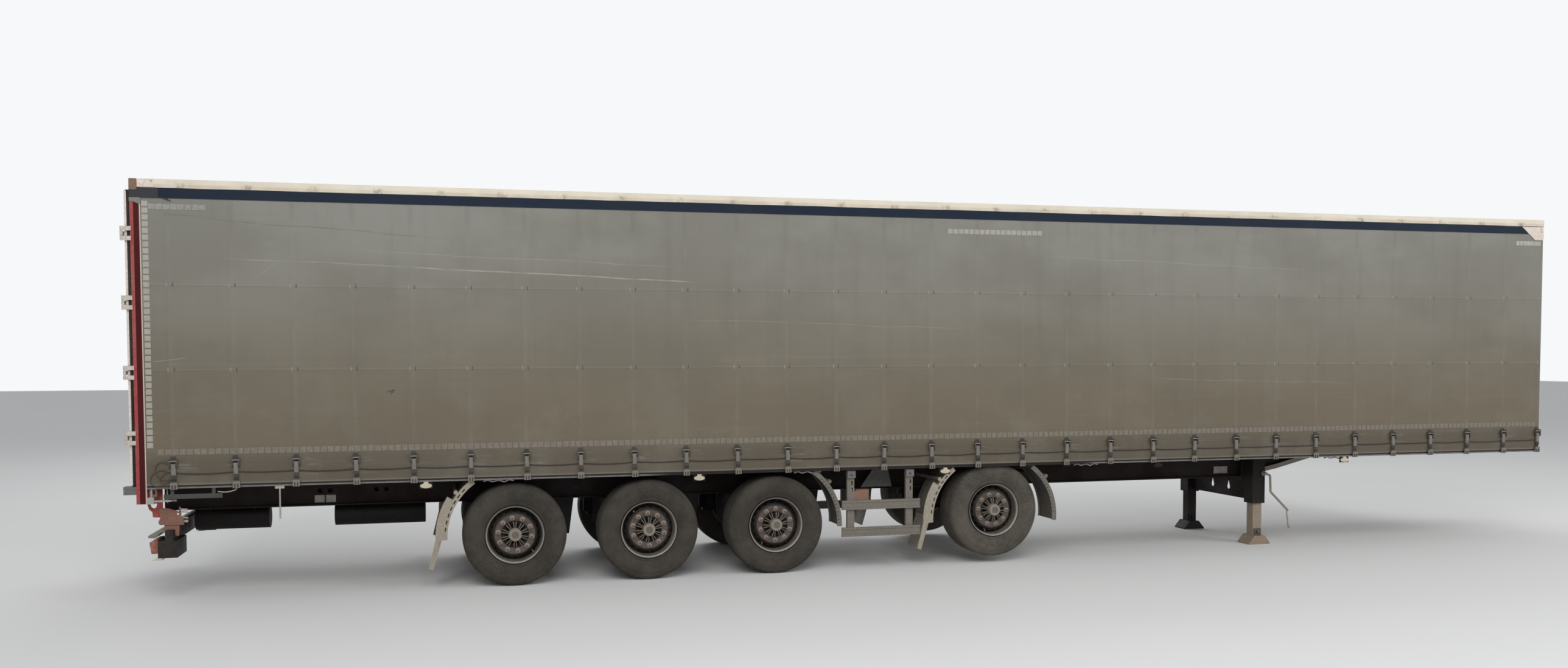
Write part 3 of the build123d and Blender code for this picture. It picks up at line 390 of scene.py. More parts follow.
# The chassis's maroon paint, darkened to near black as painted shade for the shade under the body.
CHASSIS = weathered("chassis_maroon", (0.016, 0.009, 0.009), 0.25, 0.1, tint=(0.03, 0.021, 0.019),
                    specular=0.15)
UNDER = weathered("running_gear_dark", (0.009, 0.008, 0.008), 0.35, 0.1, tint=(0.028, 0.024, 0.021),
                  specular=0.15)
RED = post_finish()
HOOK_RED = weathered("hook_red", (0.31, 0.052, 0.04), 0.12, 0.2, tint=(0.24, 0.1, 0.08))
FADED = weathered("plate_faded_pink", (0.2, 0.088, 0.062), 0.16, 0.25, tint=(0.17, 0.12, 0.09))
HUB = weathered("hub_dusty", (0.06, 0.047, 0.038), 0.45, 0.15, tint=(0.11, 0.092, 0.076))
NUT = weathered("nut_pink_rust", (0.26, 0.19, 0.155), 0.35, 0.15, grain=2.0, tint=(0.3, 0.24, 0.19))
RIB = weathered("hub_rib_pale", (0.115, 0.1, 0.08), 0.3, 0.15, tint=(0.12, 0.104, 0.084))
CAP = weathered("hub_cap_beige", (0.2, 0.175, 0.135), 0.35, 0.25)
RIM = weathered("rim_dusty", (0.105, 0.092, 0.074), 0.4, 0.25, rough=(0.55, 0.8), tint=(0.185, 0.16, 0.13))
RIM_DARK = weathered("rim_black", (0.012, 0.01, 0.009), 0.45, 0.15, tint=(0.045, 0.037, 0.03),
                     specular=0.2)
ZINC = weathered("zinc_dull", (0.36, 0.345, 0.31), 0.4, 0.2, metal=0.45, rough=(0.45, 0.75))
BUCKLE_METAL = weathered("buckle_metal", (0.25, 0.228, 0.19), 0.4, 0.2, metal=0.2, rough=(0.5, 0.8),
                         grain=2.0)
BUCKLE_PALE = weathered("buckle_pale", (0.18, 0.164, 0.137), 0.4, 0.2, metal=0.2,
                        rough=(0.5, 0.8), grain=3.0, tint=(0.15, 0.134, 0.11))
BUCKLE_FRAME = weathered("buckle_frame", (0.07, 0.063, 0.054), 0.4, 0.3, metal=0.2,
                         rough=(0.5, 0.8), grain=3.0, tint=(0.1, 0.088, 0.072))
BUCKLE_DARK = weathered("buckle_lever", (0.105, 0.094, 0.08), 0.4, 0.3, metal=0.2, rough=(0.5, 0.8),
                        grain=2.0, tint=(0.17, 0.15, 0.12))
ALLOY = weathered("alloy_dull", (0.5, 0.49, 0.46), 0.45, metal=0.5, rough=(0.42, 0.7))
GUARD = weathered("guard_plastic", (0.3, 0.262, 0.205), 0.4, rough=(0.6, 0.85))
GUARD_DARK = weathered("guard_plastic_grey", (0.12, 0.11, 0.09), 0.4, rough=(0.6, 0.85),
                       tint=(0.165, 0.145, 0.115))
GUARD_RAIL = weathered("guard_rail_alloy", (0.148, 0.133, 0.109), 0.35, rough=(0.5, 0.75),
                       tint=(0.17, 0.152, 0.125))
PANEL = weathered("cream_panel", (0.56, 0.525, 0.44), 0.22, 0.12, rough=(0.4, 0.65))
RUSTY = weathered("corner_rust", (0.16, 0.09, 0.06), 0.2, 0.8)
BOX_ORANGE = weathered("box_orange", (0.2, 0.1, 0.066), 0.25, 0.2, tint=(0.17, 0.13, 0.1))
RAIL_EDGE = weathered("rail_edge_pale", (0.175, 0.163, 0.15), 0.35, 0.2, tint=(0.2, 0.18, 0.155))
RAIL_LIP = rail_finish()
DOOR_EDGE = weathered("door_edge_cream", (0.66, 0.6, 0.54), 0.12, 0.1, rough=(0.4, 0.65))
HINGE = weathered("hinge_cream", (0.52, 0.47, 0.41), 0.2, 0.25, rough=(0.45, 0.7))
CORNER = weathered("corner_cream", (0.66, 0.575, 0.5), 0.15, 0.1, rough=(0.4, 0.65))
HANGER = weathered("hanger_dark", (0.036, 0.038, 0.033), 0.3, 0.15, tint=(0.07, 0.065, 0.055))
GREY = weathered("grey_bar", (0.115, 0.115, 0.105), 0.35, 0.2)
HOOD = weathered("hood_grey", (0.17, 0.165, 0.145), 0.35, 0.3)
LEG_DUSTY = weathered("leg_dusty_beige", (0.24, 0.18, 0.125), 0.35, 0.2)
# The legs' dark brown, darkened to near black as painted shade.
LEG_DARK = weathered("leg_dark_brown", (0.012, 0.009, 0.009), 0.35, 0.15, tint=(0.034, 0.029, 0.026),
                     specular=0.15)
PLATE = weathered("bare_plate", (0.3, 0.29, 0.265), 0.35, metal=0.2)
RUBBER = weathered("rubber_grey", (0.105, 0.103, 0.096), 0.35)
BLACK_RUBBER = weathered("rubber_black", (0.008, 0.007, 0.007), 0.15, specular=0.2)
STRAP = cloth_finish("strap_webbing", (0.032, 0.03, 0.027), (0.1, 0.088, 0.072), 420.0, 0.5)
CURTAIN = curtain_finish()
BAND = cloth_finish("band_navy", (0.01, 0.017, 0.032), (0.03, 0.036, 0.044), stain_share=0.4,
                    specular=0.12)
BAND_GREY = cloth_finish("band_grey", (0.032, 0.034, 0.038), (0.06, 0.06, 0.058), specular=0.15)
ROOF = roof_finish()
TAPE_TOP = weathered("tape_top", (0.245, 0.243, 0.218), 0.2, rough=(0.35, 0.6), tint=(0.18, 0.172, 0.15))
TAPE = weathered("tape_pale", (0.166, 0.144, 0.111), 0.3, rough=(0.35, 0.6), tint=(0.16, 0.142, 0.11))
TAPE_BRIGHT = weathered("tape_bright", (0.35, 0.33, 0.285), 0.5, rough=(0.3, 0.5), grain=3.0,
                        tint=(0.19, 0.175, 0.145))
TYRE = tyre_finish("tyre_rubber_dusty", 1.0)
TYRE_PALE = tyre_finish("tyre_rubber_pale", 1.7)
WOOD = wood_finish()
LENS = lens_finish("lens_pale", (0.52, 0.45, 0.33))
LENS_RED = lens_finish("lens_orange_red", (0.21, 0.056, 0.03))
# Near black, darker than the cable's own dark colour: painted shadow of the cable on the cloth.
CABLE_DARK = weathered("cable_dark", (0.014, 0.012, 0.011), 0.12, tint=(0.035, 0.03, 0.026))
CABLE = weathered("cable_cover", (0.06, 0.046, 0.036), 0.25, tint=(0.12, 0.1, 0.08))


# Ways of making pieces

def only(obj):
    """Makes this the one selected and active object."""
    bpy.ops.object.select_all(action="DESELECT")
    obj.select_set(True)
    bpy.context.view_layer.objects.active = obj


def only_finish(mesh, material):
    mesh.materials.clear()
    mesh.materials.append(material)


def settle(obj, name, material=None):
    """Puts the object's place into its mesh, then names it and gives it its finish."""
    only(obj)
    bpy.ops.object.transform_apply(location=True, rotation=True, scale=True)
    obj.name = name
    obj.data.name = name
    if material:
        only_finish(obj.data, material)
    return obj


def modify(obj, kind, **settings):
    """Adds one modifier with these settings and applies it."""
    only(obj)
    modifier = obj.modifiers.new(kind.title(), kind)
    for key, value in settings.items():
        setattr(modifier, key, value)
    bpy.ops.object.modifier_apply(modifier=modifier.name)
    return obj


def bevelled(obj, width, steps=2):
    return modify(obj, "BEVEL", width=width, segments=steps, limit_method="ANGLE")


def thickened(obj, thickness, offset=0):
    """A sheet with this thickness: on both of its sides, or with offset -1 behind it."""
    return modify(obj, "SOLIDIFY", thickness=thickness, offset=offset)


def block(name, low, high, material, bevel=0.003, steps=2):
    """A box between two corners, with rounded edges."""
    middle = [(a + b) / 2 for a, b in zip(low, high)]
    bpy.ops.mesh.primitive_cube_add(size=1, location=middle)
    obj = bpy.context.object
    obj.scale = [abs(b - a) for a, b in zip(low, high)]
    settle(obj, name, material)
    if bevel:
        bevelled(obj, bevel, steps)
    return obj


def rod(name, start, end, radius, material, sides, bevel=0.0):
    """A round bar between two points."""
    a, b = Vector(start), Vector(end)
    bpy.ops.mesh.primitive_cylinder_add(vertices=sides, radius=radius, depth=(b - a).length,
                                        location=(a + b) / 2)
    obj = bpy.context.object
    obj.rotation_mode = "QUATERNION"
    obj.rotation_quaternion = (b - a).to_track_quat("Z", "Y")
    settle(obj, name, material)
    if bevel:
        bevelled(obj, bevel)
    return smooth(obj)


def smooth(obj, degrees=35):
    only(obj)
    bpy.ops.object.shade_smooth_by_angle(angle=radians(degrees))
    return obj


def enter_edit():
    bpy.ops.object.mode_set(mode="EDIT")


def leave_edit():
    bpy.ops.object.mode_set(mode="OBJECT")


def turned(name, rings, sides, material, closed=False):
    """A piece turned about the Y axis: a circle extruded from ring to ring of (radius, y)."""
    radius, along = rings[0]
    bpy.ops.mesh.primitive_circle_add(vertices=sides, radius=radius, location=(0, along, 0),
                                      rotation=(pi / 2, 0, 0))
    obj = bpy.context.object
    settle(obj, name, material)
    enter_edit()
    bpy.ops.mesh.select_mode(type="VERT")
    bpy.ops.mesh.select_all(action="SELECT")
    for new_radius, new_along in rings[1:]:
        bpy.ops.mesh.extrude_region_move(
            TRANSFORM_OT_translate={"value": (0, new_along - along, 0)})
        grow = new_radius / radius
        bpy.ops.transform.resize(value=(grow, 1, grow), center_override=(0, new_along, 0))
        radius, along = new_radius, new_along
    bpy.ops.mesh.select_all(action="DESELECT")
    bpy.ops.mesh.select_non_manifold()
    if closed:
        bpy.ops.mesh.bridge_edge_loops()
    else:
        bpy.ops.mesh.edge_face_add()
    bpy.ops.mesh.select_all(action="SELECT")
    bpy.ops.mesh.normals_make_consistent(inside=False)
    leave_edit()
    return smooth(obj)


def pick_faces(obj, test):
    """Selects the faces whose middle passes the test, and enters edit mode."""
    only(obj)
    enter_edit()
    bpy.ops.mesh.select_mode(type="FACE")
    bpy.ops.mesh.select_all(action="DESELECT")
    leave_edit()
    for face in obj.data.polygons:
        face.select = test(face.center)
    enter_edit()


def push(along):
    """Extrudes the picked faces along Y, and leaves edit mode."""
    bpy.ops.mesh.extrude_region_move(TRANSFORM_OT_translate={"value": (0, along, 0)})
    leave_edit()


def finish_faces(obj, finishes, pick):
    """Adds finishes to a piece; pick(face's middle) gives the number of each face's finish."""
    for finish in finishes:
        obj.data.materials.append(finish)
    for face in obj.data.polygons:
        face.material_index = pick(face.center)


def new_object(name, data):
    """An object of the scene with this data."""
    obj = bpy.data.objects.new(name, data)
    bpy.context.scene.collection.objects.link(obj)
    return obj


def copied(obj, name, matrix):
    """Another object with its own mesh, moved by this matrix."""
    mesh = obj.data.copy()
    mesh.transform(matrix)
    if matrix.determinant() < 0:
        mesh.flip_normals()
    other = new_object(name, mesh)
    mesh.name = name
    return other


def joined(objects, name):
    """One object from several."""
    bpy.ops.object.select_all(action="DESELECT")
    for obj in objects:
        obj.select_set(True)
    bpy.context.view_layer.objects.active = objects[0]
    if len(objects) > 1:
        bpy.ops.object.join()
    objects[0].name = name
    objects[0].data.name = name
    return objects[0]


def drop(obj):
    bpy.data.objects.remove(obj)


def grid(name, columns, rows, point, material):
    """A sheet over a table of columns and rows, where point(column, row) gives each corner."""
    corners = [point(c, r) for r in rows for c in columns]
    wide = len(columns)
    faces = [(r * wide + c, r * wide + c + 1, (r + 1) * wide + c + 1, (r + 1) * wide + c)
             for r in range(len(rows) - 1) for c in range(wide - 1)]
    mesh = bpy.data.meshes.new(name)
    mesh.from_pydata(corners, [], faces)
    mesh.materials.append(material)
    return new_object(name, mesh)


def sewn(obj, side, thickness):
    """A sheet on one side of the trailer that faces outwards and has this thickness behind it."""
    if side > 0:
        obj.data.flip_normals()
    return smooth(thickened(obj, thickness, -1), 60)


def ride(obj, slot, replaces=(), body="trailer"):
    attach(obj, body)
    if replaces:
        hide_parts(*replaces)
    return obj


def both_sides(slot):
    """Turns a function that gives one side's parts into one that makes a piece of its name from both."""
    def maker(parts):
        return lambda: ride(joined([part for _, side in SIDES for part in parts(side)], parts.__name__), slot)

    return maker


# Finishes of the pieces that stay as they are
PLAIN = (
    (CHASSIS, "main_beam_right", "main_beam_left", "leg_brace"),
    (UNDER, "cross_members", "coupler_plate", "axle_1", "axle_2", "axle_3", "axle_4", "air_tanks"),
    (ZINC, "kingpin", "pillars", "tension_gear"), (WOOD, "floor"), (RED, "rear_frame"),
    (RAIL_LIP, "side_rail_right", "side_rail_left"), (RUBBER, "dock_buffers"),
    (PANEL, "front_frame", "headboard", "door_right", "door_left"),
    (ALLOY, "cantrail_right", "cantrail_left", "roof_bows"), (HANGER, "rail_hangers"),
    (GUARD, "mudguards_right", "mudguards_left"), (BOX_ORANGE, "control_box"),
    (GUARD_RAIL, "side_guard_right", "side_guard_left"), (HOOD, "underrun_guard"),
    (LEG_DARK, "landing_leg_right", "landing_leg_left"), (FADED, "underrun_carriers"),
    (LENS, "lamps"), (CABLE_DARK, "customs_cable"),
)
for finish, *nodes in PLAIN:
    for node in nodes:
        only_finish(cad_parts[node].data, finish)


def recolour(node, finish, test):
    """Another finish for the faces of a fixed piece whose middle passes the test."""
    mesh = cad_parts[node].data
    mesh.materials.append(finish)
    index = len(mesh.materials) - 1
    for face in mesh.polygons:
        if test(face.center):
            face.material_index = index


def near_leg():
    """The right leg: beige below and pale on the crank; its outer tube and gusset keep the near-black finish
    of painted shade.
    """
    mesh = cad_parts["landing_leg_right"].data
    mesh.materials.append(LEG_DUSTY)
    mesh.materials.append(BUCKLE_METAL)
    crank_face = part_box("leg_brace")[0].y - 0.185
    for face in mesh.polygons:
        top = max(mesh.vertices[i].co.z for i in face.vertices)
        if top < 0.53:
            face.material_index = 1
        if face.center.y < crank_face and face.center.z > 0.18:
            face.material_index = 2


SPARE_MARKER = REAR + 10.7
HOOK_SIDE = 1.0965
RAIL_FACE = 1.2385
THIRD_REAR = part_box("tyre_3_right")[0].x
FOURTH_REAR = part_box("tyre_4_right")[0].x
GUARDS = ("mudguards_right", "mudguards_left")
recolour("lamps", LENS_RED, lambda c: c.x < REAR + 0.25 and 0.455 < c.z < 0.7)
recolour("lamps", UNDER, lambda c: abs(c.x - SPARE_MARKER) < 0.3)
recolour("underrun_carriers", HOOK_RED,
         lambda c: c.z > 0.785 and c.x < REAR + 0.1905 and abs(c.y) < HOOK_SIDE)
recolour("underrun_carriers", ZINC, lambda c: c.x > REAR + 0.346 and abs(c.y) < HOOK_SIDE)
recolour("underrun_guard", RIM_DARK, lambda c: c.z < 0.6 or c.x > REAR + 0.2205)
recolour("rail_hangers", ZINC, lambda c: c.x > REAR + 1.0)
near_leg()
for node in GUARDS:
    recolour(node, GUARD_DARK, lambda c: abs(c.y) < 1.2115 and c.z > 0.55)
    recolour(node, GUARD_DARK, lambda c: THIRD_REAR + 0.6 < c.x < FOURTH_REAR - 1.0)
    recolour(node, GUARD_DARK, lambda c: c.x > FOURTH_REAR + 0.6)
recolour("side_rail_right", CHASSIS, lambda c: c.y > -RAIL_FACE)
recolour("side_rail_left", CHASSIS, lambda c: c.y < RAIL_FACE)


# Curtains

def curtain_wave(x, z, side):
    """How far the cloth stands out: soft bays between straps, ripples low down, and a few creases."""
    turns = (x - REAR - BUCKLE_FIRST) / BUCKLE_PITCH
    bay = sin(pi * turns) ** 2
    low = max(0.0, 1 - (z - CURTAIN_LOW) / 0.45)
    ripple = 0.0022 * low * sin(2 * pi * (turns * 3.0 + 0.7 * noise.noise((x * 0.8, z, side))))
    broad = 0.0022 * noise.noise((x * 0.45, z * 0.8, 3.0 * side))
    crease = 0.0012 * noise.noise((x * 2.3, z * 5.0, 9.0 * side))
    return 0.0005 + bay * (0.0016 + broad + crease + ripple)


def curtain(side_name, side):
    """A stretched curtain with stitched straps, two seams and a hem, solid like its cloth."""
    columns = []
    for left, right in zip([CURTAIN_REAR] + BUCKLES, BUCKLES + [CURTAIN_FRONT]):
        if right - left < 0.02:
            continue
        inner = [left + 0.024, left + 0.03, right - 0.03, right - 0.024]
        inner += [left + (right - left) * k / 9 for k in range(1, 9)]
        columns += [left] + [x for x in inner if left < x < right]
    columns = sorted(set(round(x, 5) for x in columns + [CURTAIN_FRONT]))
    rows = [CURTAIN_LOW, CURTAIN_LOW + 0.018, CURTAIN_LOW + 0.024]
    rows += [CURTAIN_LOW + 0.05 + 0.05 * k for k in range(10)]
    rows += [1.75 + 0.16 * k for k in range(13)]
    for seam in SEAMS:
        rows += [seam - 0.012, seam - 0.004, seam + 0.004, seam + 0.012]
    rows = sorted(set(round(z, 4) for z in rows if z < CURTAIN_HIGH - 0.03)) + [CURTAIN_HIGH]

    def point(x, z):
        out = curtain_wave(x, z, side)
        strap = min(abs(x - b) for b in BUCKLES) < 0.0265 and z > 1.36
        seam = min(abs(z - s) for s in SEAMS) < 0.006
        hem = z < CURTAIN_LOW + 0.02
        out += 0.0011 * strap + 0.0012 * seam + 0.0015 * hem
        return (x, side * (CLOTH_FACE + out), z)

    obj = sewn(grid(f"curtain_cloth_{side_name}", columns, rows, point, CURTAIN), side, 0.002)
    return ride(obj, "curtain_cloth", [f"curtain_{side_name}"])


def band(side_name, side):
    """The dark band sewn along the curtain's top, cut on a slant at the front."""
    columns = [CURTAIN_REAR + k * 0.145 for k in range(int((CURTAIN_FRONT - CURTAIN_REAR) / 0.145))]
    columns.append(CURTAIN_FRONT - 0.24)
    rows = [BAND_LOW, BAND_LOW + 0.006, BAND_LOW + 0.03, BAND_LOW + 0.06, HEM_LOW + 0.01]
    top = rows[-1]

    def point(x, z):
        slant = 0.16 * (top - z) / (top - BAND_LOW) if x == columns[-1] else 0.0
        out = 0.001 * noise.noise((x * 1.7, z * 9.0, side)) + 0.0012 * (z < BAND_LOW + 0.01)
        return (x + slant, side * (BAND_FACE + 0.0004 + out), z)

    obj = sewn(grid(f"band_{side_name}", columns, rows, point, BAND), side, 0.0022)
    return ride(obj, "curtain_cloth")


def tape_marks(side_name, side):
    """Pale tape squares: one row along the curtain, a column at the rear, and short rows below the band."""
    low, high = TAPE_ROW
    pitch, size = 0.0625, 0.055
    top = BAND_LOW - 0.105
    high_row = [(REAR + 0.155 + k * pitch, top, 0.058, 0.052) for k in range(8)]
    plain = []
    x = REAR + 0.19
    while x < CURTAIN_FRONT - 0.06:
        plain.append((x, low, size, high - low))
        x += pitch
    bright = [(FRONT - 0.035 - 7 * 0.054 + k * 0.054, BAND_LOW - 0.145, 0.05, 0.055) for k in range(7)]
    bright += [(REAR + 8.1 + k * pitch, top - 0.056, size, 0.052) for k in range(18)]
    z = high + 0.012
    while z < BAND_LOW - 0.03:
        bright.append((REAR + 0.1, z, 0.052, 0.05))
        z += pitch
    squares = []
    for places, finish in ((plain, TAPE), (high_row, TAPE_TOP), (bright, TAPE_BRIGHT)):
        bpy.ops.mesh.primitive_cube_add(size=1)
        seed = settle(bpy.context.object, "tape_seed", finish)
        for index, (px, pz, wide, tall) in enumerate(places):
            out = curtain_wave(px + wide / 2, pz + tall / 2, side)
            y = side * (CLOTH_FACE + out + 0.0013)
            place = Matrix.Translation((px + wide / 2, y, pz + tall / 2))
            size_by = Matrix.Diagonal((wide, 0.003, tall, 1))
            squares.append(copied(seed, f"tape_{index}", place @ size_by))
        drop(seed)
    return ride(joined(squares, f"tape_marks_{side_name}"), "curtain_cloth")


# Roof sheet and its corners

def roof():
    """The roof sheet: it sags between the bows, and its hem is creased at each of them."""
    steps = int((FRONT - REAR - 0.09) / (BOW_PITCH / 8))
    first = REAR + 0.0905
    columns = [first + k * (FRONT - first) / steps for k in range(steps + 1)]
    tall = ROOF_TOP - HEM_LOW
    across = [(-HEM_FACE, HEM_LOW), (-HEM_FACE, HEM_LOW + 0.012), (-HEM_FACE, HEM_LOW + 0.35 * tall),
              (-HEM_FACE, HEM_LOW + 0.7 * tall), (-HEM_FACE + 0.002, ROOF_TOP - 0.014),
              (-HEM_FACE + 0.008, ROOF_TOP - 0.004), (-HEM_FACE + 0.022, ROOF_TOP - 0.0005)]
    across += [(-1.15 + 2.3 * k / 18, ROOF_TOP - 0.0005) for k in range(19)]
    across += [(-y, z) for y, z in reversed(across[:7])]

    def point(x, index):
        y, z = across[index]
        turns = (x - REAR - 0.09) / BOW_PITCH
        between = sin(pi * (turns - 0.5)) ** 2
        inside = max(0.0, 1 - abs(y) / 1.22)
        if abs(y) < 1.2:
            z -= between * (0.006 + 0.01 * inside) + 0.002 * inside * (1 + noise.noise((x * 2, y * 2, 5)))
        else:
            fold = (x - REAR - FOLD_FIRST) / FOLD_PITCH + 0.5
            pinch = exp(-((fold % 1.0 - 0.5) / 0.1) ** 2)
            low = 1 - (z - HEM_LOW) / tall
            sway = 0.0022 * noise.noise((x * 3.1, z * 14, y))
            y -= copysign(0.007 * pinch * sin(pi * min(1, max(0, low))) + abs(sway), y)
            if z < HEM_LOW + 0.02:
                z += 0.004 * noise.noise((x * 2.7, 3.0, y)) + 0.004
        return (x, y, z)

    obj = grid("roof_cloth", columns, list(range(len(across))), point, ROOF)
    thickened(obj, 0.0025, -1)
    smooth(obj, 50)
    ride(obj, "roof_cloth", ["roof_sheet"])


def front_corners():
    """Cream corner plates at the front top, cut on a slant, over the end of the band."""
    for side_name, side in SIDES:
        face = HEM_FACE - 0.001
        obj = block(f"front_corner_{side_name}", (FRONT - 0.33, side * (face - 0.003), HEM_LOW - 0.165),
                    (FRONT - 0.002, side * face, HEM_LOW - 0.002), CORNER, bevel=0)
        only(obj)
        enter_edit()
        bpy.ops.mesh.select_all(action="SELECT")
        bpy.ops.mesh.bisect(plane_co=(FRONT - 0.33, 0, HEM_LOW - 0.004), plane_no=(-0.63, 0, -0.776),
                            use_fill=True, clear_outer=True)
        leave_edit()
        bevelled(obj, 0.001)
        ride(obj, "white_panel")


def rear_corners():
    """Rusty blocks on the rear posts, the end panel of the hem, and the band's loose grey end."""
    for side_name, side in SIDES:
        outer = side * (HEM_FACE + 0.001)
        rust = block(f"rear_corner_{side_name}", (REAR - 0.004, outer - side * 0.1, ROOF_TOP - 0.108),
                     (REAR + 0.066, outer, ROOF_TOP - 0.002), RUSTY, bevel=0.006, steps=3)
        ride(rust, "red_paint")
        panel = block(f"hem_end_panel_{side_name}", (REAR + 0.067, outer - side * 0.004, HEM_LOW + 0.008),
                      (REAR + 0.205, outer, ROOF_TOP - 0.0075), CORNER, bevel=0)
        pick_faces(panel, lambda c: c.x > REAR + 0.2)
        bpy.ops.transform.translate(value=(0, 0, 0.006))
        leave_edit()
        ride(bevelled(panel, 0.001), "roof_cloth")
        face = HEM_FACE - 0.0005
        # forward of the rear post, height
        cut_line = [(-0.003, 0.034), (0.03, 0.036), (0.06, 0.05), (0.092, 0.06)]
        end = grid(f"band_end_{side_name}", [-0.003, 0.03, 0.06, 0.09, 0.15, 0.2, 0.245], [0, 1, 2, 3],
                   lambda x, row: (REAR + x, side * (face - 0.001 * (x > 0.2)),
                                   BAND_LOW + row * (HEM_LOW + 0.006 - BAND_LOW) / 3), BAND_GREY)
        flap = grid("band_flap", cut_line, [0.0, 0.5, 1.0],
                    lambda cut, row: (REAR + cut[0], side * face, BAND_LOW - cut[1] * row), CURTAIN)
        scrap = grid("band_scrap", [0.0, 0.5, 1.0], [0.0, 1.0],
                     lambda k, row: (REAR + 0.265 + 0.045 * k + 0.05 * row, side * (face + 0.0008),
                                     BAND_LOW + 0.004 - row * (0.036 - 0.016 * (1 - k))), BAND_GREY)
        cloths = [thickened(cloth, 0.0018) for cloth in (end, flap, scrap)]
        ride(joined(cloths, f"band_end_{side_name}"), "curtain_cloth")


# Buckles

def buckle_seed():
    """One over-centre buckle at x 0 on the left side, between its strap and the hook under the rail."""
    back = CURTAIN_FACE + 0.001
    parts = [
        block("strap_top", (-0.022, back, 1.335), (0.022, back + 0.004, 1.392), STRAP, 0.001),
        block("cheek_a", (-0.037, back, 1.284), (-0.03, back + 0.031, 1.366), BUCKLE_FRAME, 0.002),
        block("cheek_b", (0.03, back, 1.284), (0.037, back + 0.031, 1.366), BUCKLE_FRAME, 0.002),
        rod("cross_pin", (-0.04, back + 0.024, 1.347), (0.04, back + 0.024, 1.347), 0.0055,
            BUCKLE_METAL, 10),
    ]
    frame_block = block("buckle_frame", (-0.03, back + 0.004, 1.29), (0.03, back + 0.017, 1.35),
                        BUCKLE_FRAME, 0)
    pick_faces(frame_block, lambda c: c.y > back + 0.0165)
    bpy.ops.mesh.inset(thickness=0.01)
    push(-0.008)
    finish_faces(frame_block, [BLACK_RUBBER], lambda c: int(
        0.006 < c.y - back < 0.0165 and abs(c.x) < 0.026 and 1.295 < c.z < 1.345))
    parts.append(frame_block)
    lever = block("lever", (-0.0225, back + 0.004, 1.212), (0.0225, back + 0.0185, 1.322), BUCKLE_PALE, 0)
    pick_faces(lever, lambda c: c.y > back + 0.018)
    bpy.ops.mesh.inset(thickness=0.008)
    bpy.ops.transform.translate(value=(0, 0.009, -0.004))
    leave_edit()
    bevelled(lever, 0.003)
    parts.append(lever)
    strap_rows = [(0.016, 1.21), (0.022, 1.19), (0.016, 1.172), (0.006, 1.16), (0.012, 1.146),
                  (0.022, 1.134)]
    fold = grid("strap_fold", [-0.021, 0.0, 0.021], strap_rows,
                lambda x, row: (x, back + row[0], row[1]), STRAP)
    thickened(fold, 0.004)
    parts.append(smooth(fold, 60))
    hook = block("hook", (-0.032, back + 0.01, RAIL_LOW - 0.006), (0.032, back + 0.025, 1.146),
                 BUCKLE_PALE, 0)
    pick_faces(hook, lambda c: c.y > back + 0.0245)
    bpy.ops.mesh.subdivide(number_cuts=4)
    leave_edit()
    pick_faces(hook, lambda c: c.y > back + 0.0245 and 0.005 < abs(c.x) < 0.02 and c.z < 1.125)
    push(-0.009)
    finish_faces(hook, [BUCKLE_FRAME], lambda c: int(0.004 < abs(c.x) < 0.021 and c.z < 1.126))
    parts.append(hook)
    parts.append(block("hook_foot", (-0.028, back - 0.003, RAIL_LOW - 0.007),
                       (0.028, back + 0.022, RAIL_LOW - 0.001), BUCKLE_PALE, 0.0015))
    return joined(parts, "buckle_seed")


def buckle_rows():
    seed = buckle_seed()
    for side_name, side in SIDES:
        row = []
        for index, x in enumerate(BUCKLES):
            lean = 0.07 * (random.random() - 0.5)
            top, down = Matrix.Translation((x, 0, 1.36)), Matrix.Translation((0, 0, -1.36))
            turn = Matrix.Diagonal((1, side, 1, 1)) @ (top @ Matrix.Rotation(lean, 4, "Y") @ down)
            row.append(copied(seed, f"buckle_{index}", turn))
        ride(joined(row, f"buckle_row_{side_name}"), "galvanised", [f"buckles_{side_name}"])
    drop(seed)


def rope(name, points, radius, material):
    """A round line through these points."""
    curve = bpy.data.curves.new(name, "CURVE")
    curve.dimensions = "3D"
    spline = curve.splines.new("POLY")
    spline.points.add(len(points) - 1)
    for target, p in zip(spline.points, points):
        target.co = (*p, 1)
    curve.bevel_depth = radius
    curve.bevel_resolution = 2
    curve.use_fill_caps = True
    only(new_object(name, curve))
    bpy.ops.object.convert(target="MESH")
    obj = bpy.context.object
    only_finish(obj.data, material)
    return smooth(obj, 60)


def rounded(points):
    """More points on a smooth line through these."""
    steps = 5
    many = []
    spread = [points[0]] + list(points) + [points[-1]]
    for a, b, c, d in zip(spread, spread[1:], spread[2:], spread[3:]):
        for k in range(steps):
            t = k / steps
            many.append(tuple(0.5 * (2 * q + (r - p) * t + (2 * p - 5 * q + 4 * r - s) * t * t
                                     + (3 * q - p - 3 * r + s) * t ** 3) for p, q, r, s in zip(a, b, c, d)))
    return many + [tuple(points[-1])]


def customs_cable():
    """The customs cable, which hangs a little slack from buckle to buckle."""
    lines = []
    for side_name, side in SIDES:
        points = []
        y = side * (CURTAIN_FACE + 0.008)
        for left, right in zip(BUCKLES, BUCKLES[1:]):
            drop_by = 0.006 + 0.01 * random.random()
            for share in [k / 6 for k in range(6)]:
                sag = drop_by * 4 * share * (1 - share)
                points.append((left + (right - left) * share, y, CABLE_HEIGHT - sag))
        points.append((BUCKLES[-1], y, CABLE_HEIGHT))
        lines.append(rope(f"cable_{side_name}", points, CABLE_RADIUS, CABLE_DARK))
    ride(joined(lines, "cable_lines"), "cable", ["customs_cable"])


